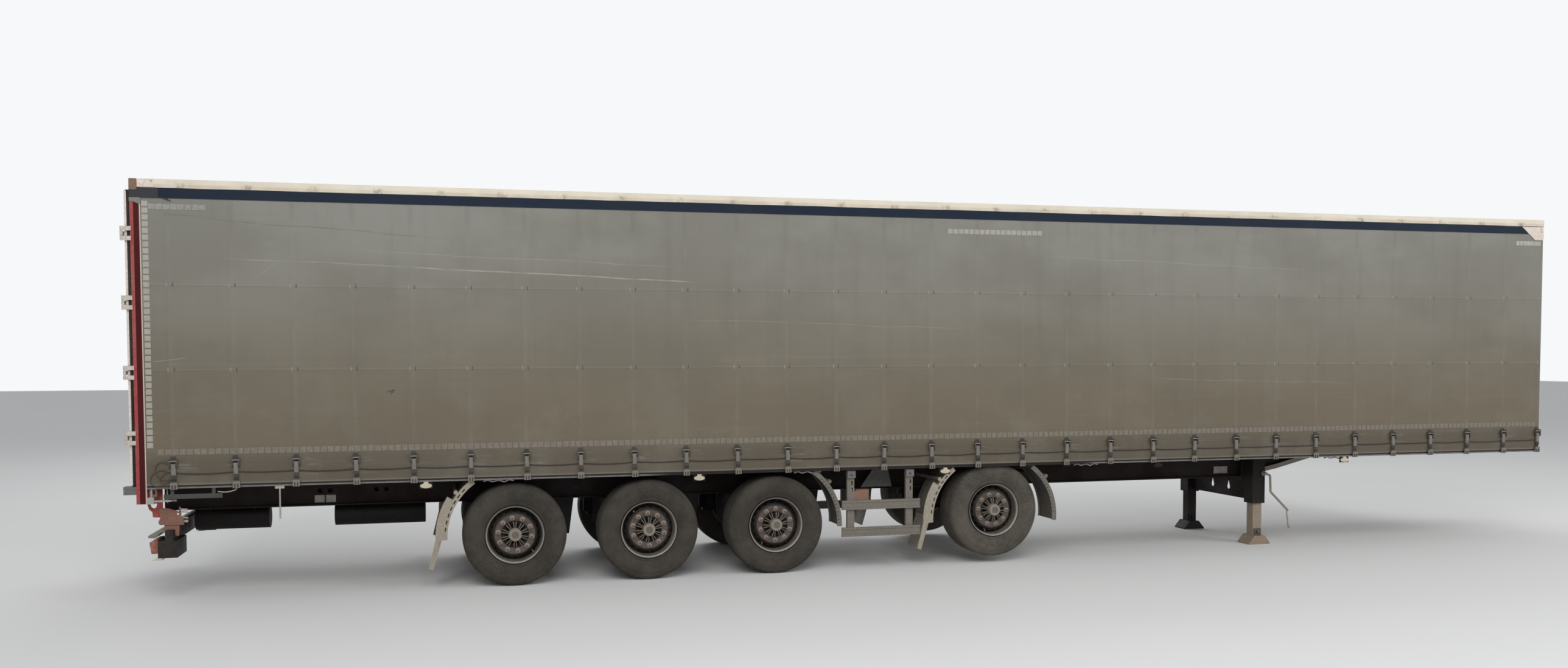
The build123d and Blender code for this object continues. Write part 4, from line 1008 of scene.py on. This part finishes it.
@both_sides("cable")
def rear_ropes(side):
    """The cable's loose loops round the first buckle, and a pale tail from the second."""
    # forward of the rear post, out from the curtain, height
    loops = [
        [(0.315, 0.012, 1.236), (0.22, 0.01, 1.262), (0.15, 0.012, 1.235), (0.122, 0.012, 1.18),
         (0.14, 0.012, 1.13), (0.21, 0.014, 1.108), (0.3, 0.016, 1.125)],
        [(0.3, 0.02, 1.3), (0.245, 0.014, 1.345), (0.185, 0.012, 1.32), (0.165, 0.012, 1.26),
         (0.195, 0.014, 1.2), (0.26, 0.018, 1.17), (0.31, 0.022, 1.19)],
        [(0.29, 0.02, 1.25), (0.235, 0.012, 1.222), (0.205, 0.012, 1.17), (0.235, 0.014, 1.135),
         (0.295, 0.018, 1.16)],
    ]
    tail = [(0.868, -0.002, 1.082), (0.862, -0.004, 1.066), (0.82, -0.008, 1.05), (0.765, -0.01, 1.042),
            (0.7, -0.012, 1.05)]
    for points, radius, finish in [(loop, CABLE_RADIUS, CABLE) for loop in loops] + [(tail, 0.006, ZINC)]:
        path = [(REAR + x, side * (CURTAIN_FACE + out), z) for x, out, z in points]
        yield rope("loop", rounded(path), radius, finish)


# Tyres and wheels, made at the origin with the outer face towards -Y

TYRE_RADIUS = 0.52
DUSTY_INDEX, BLACK_INDEX = 2, 3


def reach(c):
    """How far a place is from the axle."""
    return hypot(c.x, c.z)


def sector(c, count):
    """How many of so many sectors a place is round the axle."""
    return (atan2(c.z, c.x) + pi) / (2 * pi) * count


def tyre_seed():
    """A worn trailer tyre: bead, bulged sidewall with ribs, shoulder and a tread of four grooves."""
    side_rings = [
        (0.289, 0.149), (0.304, 0.155), (0.316, 0.1635), (0.322, 0.1645), (0.326, 0.162),
        (0.345, 0.174), (0.372, 0.1835), (0.402, 0.1885), (0.43, 0.1885), (0.434, 0.1895),
        (0.44, 0.1875), (0.462, 0.1835), (0.478, 0.178), (0.481, 0.1795), (0.487, 0.1765),
        (0.498, 0.1705), (0.508, 0.1615), (0.5145, 0.151),
    ]
    tread = [(0.5175, 0.14)]
    for middle in (0.1, 0.036):
        crown = TYRE_RADIUS - 0.0025 * (middle / 0.14) ** 2
        tread += [(crown - 0.0008, middle + 0.0075), (crown - 0.013, middle + 0.0055),
                  (crown - 0.013, middle - 0.0055), (crown - 0.0003, middle - 0.0075)]
    half = side_rings + tread
    rings = [(r, -y) for r, y in half] + [(r, y) for r, y in reversed(half)]
    obj = turned("tyre_seed", rings, 96, TYRE, closed=True)
    pick_faces(obj, lambda c: 0.499 < reach(c) < 0.5125 and abs(c.y) > 0.15
               and int(sector(c, 96)) % 2 == 0)
    bpy.ops.mesh.inset(thickness=0.0035, use_individual=True)
    bpy.ops.transform.resize(value=(0.9925, 0.985, 0.9925), center_override=(0, 0, 0))
    leave_edit()
    return smooth(obj, 40)


def windows(obj, low, high, outer_low, count, wide):
    """Cuts deep hand holes into the ring of faces between two radii on the outer side."""
    def test(c):
        return low < reach(c) < high and c.y < outer_low and abs(sector(c, count) % 1 - 0.5) < wide

    pick_faces(obj, test)
    bpy.ops.mesh.inset(thickness=0.0025)
    push(0.035)
    for face in obj.data.polygons:
        if face.select:
            face.material_index = BLACK_INDEX


def wheel_seed():
    """Rim, disc with hand holes, hub with its cap and cooling ribs, ten bolts, brake drum and valve."""
    rim = turned("rim", [
        (0.2875, 0.15), (0.2875, -0.148), (0.2975, -0.151), (0.2985, -0.158), (0.2965, -0.1645),
        (0.2905, -0.165), (0.284, -0.16), (0.2765, -0.146), (0.272, -0.118), (0.268, -0.085),
        (0.264, -0.05), (0.2655, 0.148),
    ], 80, RIM, closed=True)

    # The flange's outer lip is painted dark: painted shade of the groove where the tyre's bead meets the rim.
    def flange(c):
        if c.y >= -0.14:
            return 0
        return 2 if reach(c) > 0.29 else 1

    finish_faces(rim, [ZINC, UNDER], flange)
    disc = turned("disc", [
        (0.264, -0.048), (0.258, -0.062), (0.246, -0.08), (0.228, -0.104), (0.214, -0.116),
        (0.203, -0.1185), (0.202, -0.121), (0.14, -0.122), (0.136, -0.12), (0.134, -0.098),
        (0.1, -0.094), (0.1, -0.03), (0.15, -0.02), (0.205, -0.095), (0.24, -0.05),
    ], 80, RIM_DARK, closed=True)

    def zone(c):
        far = reach(c)
        if far < 0.1352:
            return BLACK_INDEX
        if far > 0.259 and c.y < -0.048:
            return DUSTY_INDEX
        return int(0.1355 < far < 0.2032 and c.y < -0.115)

    finish_faces(disc, [HUB, RIM, BLACK_RUBBER], zone)
    windows(disc, 0.229, 0.2575, -0.06, 20, 0.27)
    hub = turned("hub_cap", [
        (0.048, -0.1965), (0.058, -0.1965), (0.0625, -0.192), (0.0625, -0.166), (0.066, -0.162),
        (0.066, -0.098),
    ], 40, CAP)
    pick_faces(hub, lambda c: c.y < -0.196 and reach(c) < 0.04)
    bpy.ops.mesh.inset(thickness=0.013)
    push(0.005)
    finish_faces(hub, [BUCKLE_DARK], lambda c: int(c.y < -0.191 and reach(c) < 0.036))
    rib = block("rib", (0.065, -0.156, -0.0046), (0.133, -0.095, 0.0046), RIB, 0.0018)
    pick_faces(rib, lambda c: c.x > 0.127)
    bpy.ops.transform.translate(value=(0, 0.012, 0))
    leave_edit()
    ribs = [copied(rib, f"rib_{k}", Matrix.Rotation(radians(18 * k + (3 if k % 2 else -3)), 4, "Y"))
            for k in range(20)]
    nut = rod("nut", (0.168, -0.121, 0), (0.168, -0.149, 0), 0.0215, NUT, 6, 0.002)
    washer = rod("washer", (0.168, -0.121, 0), (0.168, -0.1275, 0), 0.0265, NUT, 16, 0.001)
    stud = rod("stud", (0.168, -0.148, 0), (0.168, -0.16, 0), 0.011, HUB, 10, 0.002)
    bolt = joined([nut, washer, stud], "bolt")
    bolts = [copied(bolt, f"bolt_{k}", Matrix.Rotation(2 * pi * (k + 0.5) / 10, 4, "Y"))
             for k in range(10)]
    drum = turned("drum", [(0.046, 0.108), (0.09, 0.109), (0.209, 0.108), (0.2115, 0.104),
                           (0.2115, -0.06), (0.15, -0.075), (0.046, -0.075)], 64, UNDER, closed=True)
    valve = rod("valve", (0.0, -0.1, -0.235), (0.0, -0.15, -0.252), 0.0042, ZINC, 8)
    drop(rib)
    drop(bolt)
    return smooth(joined([rim, disc, hub, drum, valve] + ribs + bolts, "wheel_seed"), 35)


def running_wheels():
    tyre, wheel = tyre_seed(), wheel_seed()
    for number in range(1, 5):
        for side_name, side in SIDES:
            low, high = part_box(f"tyre_{number}_{side_name}")
            middle = (low + high) / 2
            spin = Matrix.Rotation(random.random() * 2 * pi, 4, "Y")
            face = Matrix.Rotation(0 if side < 0 else pi, 4, "Z")
            place = Matrix.Translation(middle) @ face @ spin
            own = f"{number}_{side_name}"
            for seed, kind, slot in ((tyre, "tyre", "tyre_rubber"), (wheel, "wheel", "rusty_steel")):
                obj = copied(seed, f"{kind}_detail_{own}", place)
                ride(obj, slot, [f"{kind}_{own}"], f"roadwheel_{own}")
                if kind == "tyre" and number == 4:
                    obj.data.materials[0] = TYRE_PALE
    drop(tyre)
    drop(wheel)


# Rear end

def door_trim():
    """Rubber seals round the doors, and bolts along their rods."""
    low_box, high_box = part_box("door_left")
    z0, z1 = low_box.z, high_box.z
    face = REAR - 0.05
    inner, outer = 0.006, 1.238
    # name, depth in the door, from and to: out from the middle, height
    seals = [("seal_low", 0.01, (inner, z0 - 0.006), (outer, z0 + 0.012)),
             ("seal_high", 0.01, (inner, z1 - 0.012), (outer, z1 + 0.006)),
             ("seal_outer", 0.021, (outer - 0.012, z0), (outer + 0.005, z1))]
    for side_name, side in SIDES:
        parts = [block(name, (face + depth, side * y_low, z_low), (REAR - 0.004, side * y_high, z_high),
                       BLACK_RUBBER) for name, depth, (y_low, z_low), (y_high, z_high) in seals]
        seed = rod("door_bolt", (face - 0.006, 0, 0), (face + 0.004, 0, 0), 0.009, ZINC, 8, 0.002)
        for y in (0.212, 0.782):
            for k in range(4):
                z = z0 + 0.15 + k * (z1 - z0 - 0.3) / 3
                for dy in (-0.04, 0.04):
                    place = Matrix.Translation((0.008, side * (y + dy), z))
                    parts.append(copied(seed, "door_bolt_copy", place))
        drop(seed)
        ride(joined(parts, f"door_trim_{side_name}"), "rubber", body=f"{side_name}_door")


def door_metal():
    """Finishes of the doors' edges, of their rods, handles and straps, and of the hinges."""
    face = REAR - 0.0505
    edge = 1.237
    for node in ("door_right", "door_left"):
        recolour(node, DOOR_EDGE, lambda c: abs(c.y) > edge)
        recolour(node, ZINC, lambda c: c.x < face)
        recolour(node, HINGE, lambda c: abs(c.y) > edge + 0.002)
    recolour("rear_frame", HINGE, lambda c: c.x < REAR - 0.01)


# Small things on the frame

def beam_plates():
    """Bare plates on the right beam's web."""
    web = -0.5345
    # start and end forward of the rear post, low and high edge
    places = [(1.49, 1.586, 0.836, 0.912), (1.598, 1.694, 0.836, 0.912), (11.9, 12.09, 0.855, 0.939)]
    plates = [block("plate", (REAR + start, web - 0.003, low), (REAR + end, web, high), PLATE, 0.001)
              for start, end, low, high in places]
    ride(joined(plates, "beam_plates"), "galvanised")


@both_sides("chassis_paint")
def gusset_plates(side):
    """Dark gusset plates under the rails."""
    plate = block("gusset", (REAR + 7.28, side * 0.7, 0.84), (REAR + 7.65, side * 0.708, 1.1), GREY, 0)
    pick_faces(plate, lambda c: c.z > 1.099)
    bpy.ops.transform.resize(value=(0.34, 1, 1), center_override=(REAR + 7.56, 0, 1.1))
    leave_edit()
    return [bevelled(plate, 0.002)]


@both_sides("galvanised")
def rail_latches(side):
    """The bent handles that lock the pillars, under the side rails."""
    bends = [(-0.15, 0.0), (-0.105, 0.014), (-0.06, -0.004), (0.0, 0.01), (0.055, -0.008), (0.105, 0.012),
             (0.15, 0.002)]
    y = side * (CURTAIN_FACE - 0.045)
    for place in (3.3, 6.52, 9.8, 13.1):
        knees = [(REAR + place + x, y, RAIL_LOW - 0.016 + z) for x, z in bends]
        for start, end in zip(knees, knees[1:]):
            yield rod("handle", start, end, 0.0075, ZINC, 10)


def marker_rims():
    """Dark rims round the side marker lamps, each with a small bracket."""
    groups = {}
    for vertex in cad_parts["lamps"].data.vertices:
        c = vertex.co
        if abs(c.y) > 1.1 and c.x > REAR + 1.0 and abs(c.x - SPARE_MARKER) > 0.3:
            groups.setdefault((round(c.x / 0.5), c.y > 0), []).append(c)
    rims = []
    for (_, left), corners in sorted(groups.items()):
        low = Vector([min(c[k] for c in corners) for k in range(3)])
        high = Vector([max(c[k] for c in corners) for k in range(3)])
        if high.x - low.x > 0.2:
            continue
        side = 1 if left else -1
        inner = low.y if left else high.y
        rims.append(block("rim_back", (low.x - 0.006, inner, low.z - 0.006),
                          (high.x + 0.006, inner + side * 0.01, high.z + 0.006), BLACK_RUBBER, 0.002))
        rims.append(block("lamp_bracket", (low.x + 0.012, inner, high.z),
                          (low.x + 0.034, inner + side * 0.006, high.z + 0.035), GREY, 0.001))
    ride(joined(rims, "marker_rims"), "rubber")


@both_sides("galvanised")
def rear_fittings(side):
    """The block with its hole, the rod and the flat lever below the rear end of each curtain."""
    def at(ahead, out, z):
        return (REAR + ahead, side * (1.15 + out), z)

    return [
        block("latch_block", at(0.092, 0, 1.01), at(0.168, 0.055, 1.098), FADED),
        rod("latch_hole", at(0.13, 0.054, 1.052), at(0.13, 0.0565, 1.052), 0.021, BLACK_RUBBER, 16),
        rod("pale_rod", at(0.25, 0.034, 0.95), at(0.25, 0.034, 1.098), 0.0065, ZINC, 10, 0.001),
        block("lever_flat", at(0.19, 0.028, 0.962), at(0.33, 0.036, 0.98), ZINC, 0.002),
    ]


@both_sides("dusty_plastic")
def guard_slots(side):
    """Dark slots along the lips of the rear mudguards, and a rib along the front ones."""
    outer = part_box("mudguards_left")[1].y
    slot = block("slot_seed", (-0.02, 0, -0.006), (0.02, 0.002, 0.006), BLACK_RUBBER, 0.0008, 1)
    rib = block("rib_seed", (-0.03, 0, -0.004), (0.03, 0.0015, 0.004), RAIL_EDGE, 0.0008, 1)
    # wheel, shift of the guard's middle, first and last angle from straight up, piece, its count and reach
    guards = [(1, 0.0, -44, -86, slot, 7, 0.684), (4, -0.075, -45, -86, slot, 7, 0.684),
              (3, 0.01, 42, 90, rib, 14, 0.676), (4, 0.035, 42, 90, rib, 14, 0.676)]
    for number, shift, start, end, seed, count, far in guards:
        low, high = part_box(f"tyre_{number}_right")
        for k in range(count):
            angle = radians(start + (end - start) * (k + 0.5) / count)
            place = Matrix.Translation(((low.x + high.x) / 2 + shift + far * sin(angle), outer - 0.0005,
                                        TYRE_RADIUS + far * cos(angle)))
            turn = Matrix.Diagonal((1, side, 1, 1)) @ place @ Matrix.Rotation(angle, 4, "Y")
            yield copied(seed, "guard_mark", turn)
    drop(slot)
    drop(rib)


@both_sides("chassis_paint")
def neck_highlight_plates(side):
    """Pale edge plates along the slope of the neck: a painted highlight of the beam's lower flange, which
    catches the light there.
    """
    path = [(FRONT - 3.72, 0.822), (FRONT - 3.3, 0.905), (FRONT - 2.8, 1.03), (FRONT - 2.45, 1.108)]
    edge = grid("neck_plate", path, [0.0, 0.5, 1.0],
                lambda place, row: (place[0], side * 0.59, place[1] + 0.056 * row), BUCKLE_METAL)
    return [thickened(edge, 0.004)]


@both_sides("rusty_steel")
def shoe_pins(side):
    """Pins and cheeks where each leg joins its shoe."""
    leg_low, leg_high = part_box("landing_leg_left")
    x = leg_low.x + 0.145
    finish = HUB if side < 0 else UNDER
    for way in (-1, 1):
        face = side * (leg_high.y - 0.115) + way * 0.062
        yield block("cheek", (x - 0.048, face, 0.085), (x + 0.048, face + way * 0.01, 0.19), finish)
        # shift, height, length, radius, sides, bevel
        for shift, z, long, radius, sides, bevel in ((0.0, 0.15, 0.03, 0.019, 16, 0.003),
                                                     (0.03, 0.108, 0.022, 0.011, 12, 0.002)):
            start, end = (x - shift * way, face, z), (x - shift * way, face + way * long, z)
            yield rod("pin", start, end, radius, finish, sides, bevel)


def crank_parts():
    """The thicker grip at the end of the crank, and the collar at its top."""
    grip_y, end_x, collar_x = -0.8225, FRONT - 3.2905, FRONT - 3.6345
    # from, to, radius, finish, bevel
    rods = [((FRONT - 3.3175, grip_y, 0.396), (end_x, grip_y, 0.196), 0.0195, ALLOY, 0.004),
            ((end_x, grip_y, 0.197), (end_x + 0.0008, grip_y, 0.19), 0.015, BUCKLE_METAL, 0.002),
            ((collar_x, -0.777, 0.865), (collar_x, -0.8, 0.865), 0.03, BUCKLE_METAL, 0.003)]
    made = [rod("crank_part", *row[:4], 20, row[4]) for row in rods]
    ride(joined(made, "crank_parts"), "galvanised")


@both_sides("galvanised")
def guard_clamps(side):
    """Dark clamps that hold the side guards' posts to the rails."""
    y = side * 1.226
    for start in (0.06, 0.73):
        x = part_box("side_guard_right")[0].x + start
        yield block("clamp", (x, y, 0.998), (x + 0.092, y - side * 0.07, 1.078), GREY, 0.004)
        x += 0.046
        yield rod("clamp_bolt", (x, y, 1.036), (x, y + side * 0.012, 1.036), 0.012, HUB, 6, 0.002)


@both_sides("galvanised")
def corner_bolts(side):
    """Bolts in the corner plates and the hem's end panels."""
    y, out = side * (HEM_FACE - 0.0045), side * 0.006
    for x, z in ((FRONT - 0.042, HEM_LOW - 0.032), (FRONT - 0.042, HEM_LOW - 0.064),
                 (REAR + 0.19, HEM_LOW + 0.066)):
        yield rod("corner_bolt", (x, y, z), (x, y + out, z), 0.008, GREY, 6, 0.002)


# Camera, lights and floor

def camera():
    """A camera at the photograph's eye height, from its fitted direction and lens."""
    yaw, pitch, roll = 0.2536, -0.042, -0.0029
    focal_px, right_px, down_px = 2039.6, -10.0, 119.1
    width_px, sensor = 2576.0, 36.0
    forward = Vector((sin(yaw) * cos(pitch), cos(yaw) * cos(pitch), sin(pitch)))
    level = Vector((cos(yaw), -sin(yaw), 0))
    up = level.cross(forward)
    right = level * cos(roll) + up * sin(roll)
    top = up * cos(roll) - level * sin(roll)
    data = bpy.data.cameras.new("camera")
    data.sensor_width = sensor
    data.lens = focal_px / width_px * sensor
    data.shift_x = -right_px / width_px
    data.shift_y = down_px / width_px
    data.clip_end = 200
    obj = new_object("camera", data)
    turn = Matrix((right, top, -forward)).transposed().to_4x4()
    obj.matrix_world = Matrix.Translation((-5.075, -13.92, 2.334)) @ turn
    bpy.context.scene.camera = obj


def studio():
    """A pale floor, a pale world and three large soft lamps."""
    bpy.ops.mesh.primitive_plane_add(size=160, location=(0, 0, 0))
    ground = settle(bpy.context.object, "studio_floor")
    n = Nodes("studio_floor_pale")
    n.done(n.mix(n.noise(0.4), (0.7, 0.7, 0.69), (0.74, 0.74, 0.73)), 0.85)
    ground.data.materials.append(n.material)
    world = bpy.data.worlds.new("studio_world")
    bpy.context.scene.world = world
    world.use_nodes = True
    nodes = world.node_tree.nodes
    back, white = nodes["Background"], nodes.new("ShaderNodeBackground")
    path, either = nodes.new("ShaderNodeLightPath"), nodes.new("ShaderNodeMath")
    mix = nodes.new("ShaderNodeMixShader")
    either.operation = "MAXIMUM"
    for node, colour, strength in ((back, (0.9, 0.92, 0.95, 1), 0.5), (white, (0.93, 0.94, 0.95, 1), 1.0)):
        node.inputs["Color"].default_value = colour
        node.inputs["Strength"].default_value = strength
    # from node and output, to node and input
    for source, out, target, into in (
            (path, "Is Camera Ray", either, 0), (path, "Is Glossy Ray", either, 1), (either, "Value", mix, 0),
            (back, "Background", mix, 1), (white, "Background", mix, 2),
            (mix, "Shader", nodes["World Output"], "Surface")):
        world.node_tree.links.new(source.outputs[out], target.inputs[into])
    # place, target, size, power in watts
    lamps = [
        ((-6, -16, 12), (0, 0, 2.0), 12, 1850),
        ((14, -12, 9), (2, 0, 2.0), 10, 970),
        ((0, 14, 14), (0, 0, 3.0), 14, 1300),
    ]
    for place, target, size, power in lamps:
        data = bpy.data.lights.new("soft_lamp", "AREA")
        data.size = size
        data.energy = power
        lamp = new_object("soft_lamp", data)
        lamp.location = place
        lamp.rotation_mode = "QUATERNION"
        lamp.rotation_quaternion = (Vector(target) - Vector(place)).to_track_quat("-Z", "Y")
    bpy.context.scene.view_settings.view_transform = "Standard"


camera()
studio()
for name, sign in SIDES:
    cloth = curtain(name, sign)
    band(name, sign)
    tape_marks(name, sign)
roof()
front_corners()
rear_corners()
buckle_rows()
customs_cable()
running_wheels()
door_trim()
door_metal()
beam_plates()
gusset_plates()
rear_ropes()
guard_slots()
shoe_pins()
guard_clamps()
crank_parts()
neck_highlight_plates()
rail_latches()
marker_rims()
rear_fittings()
corner_bolts()
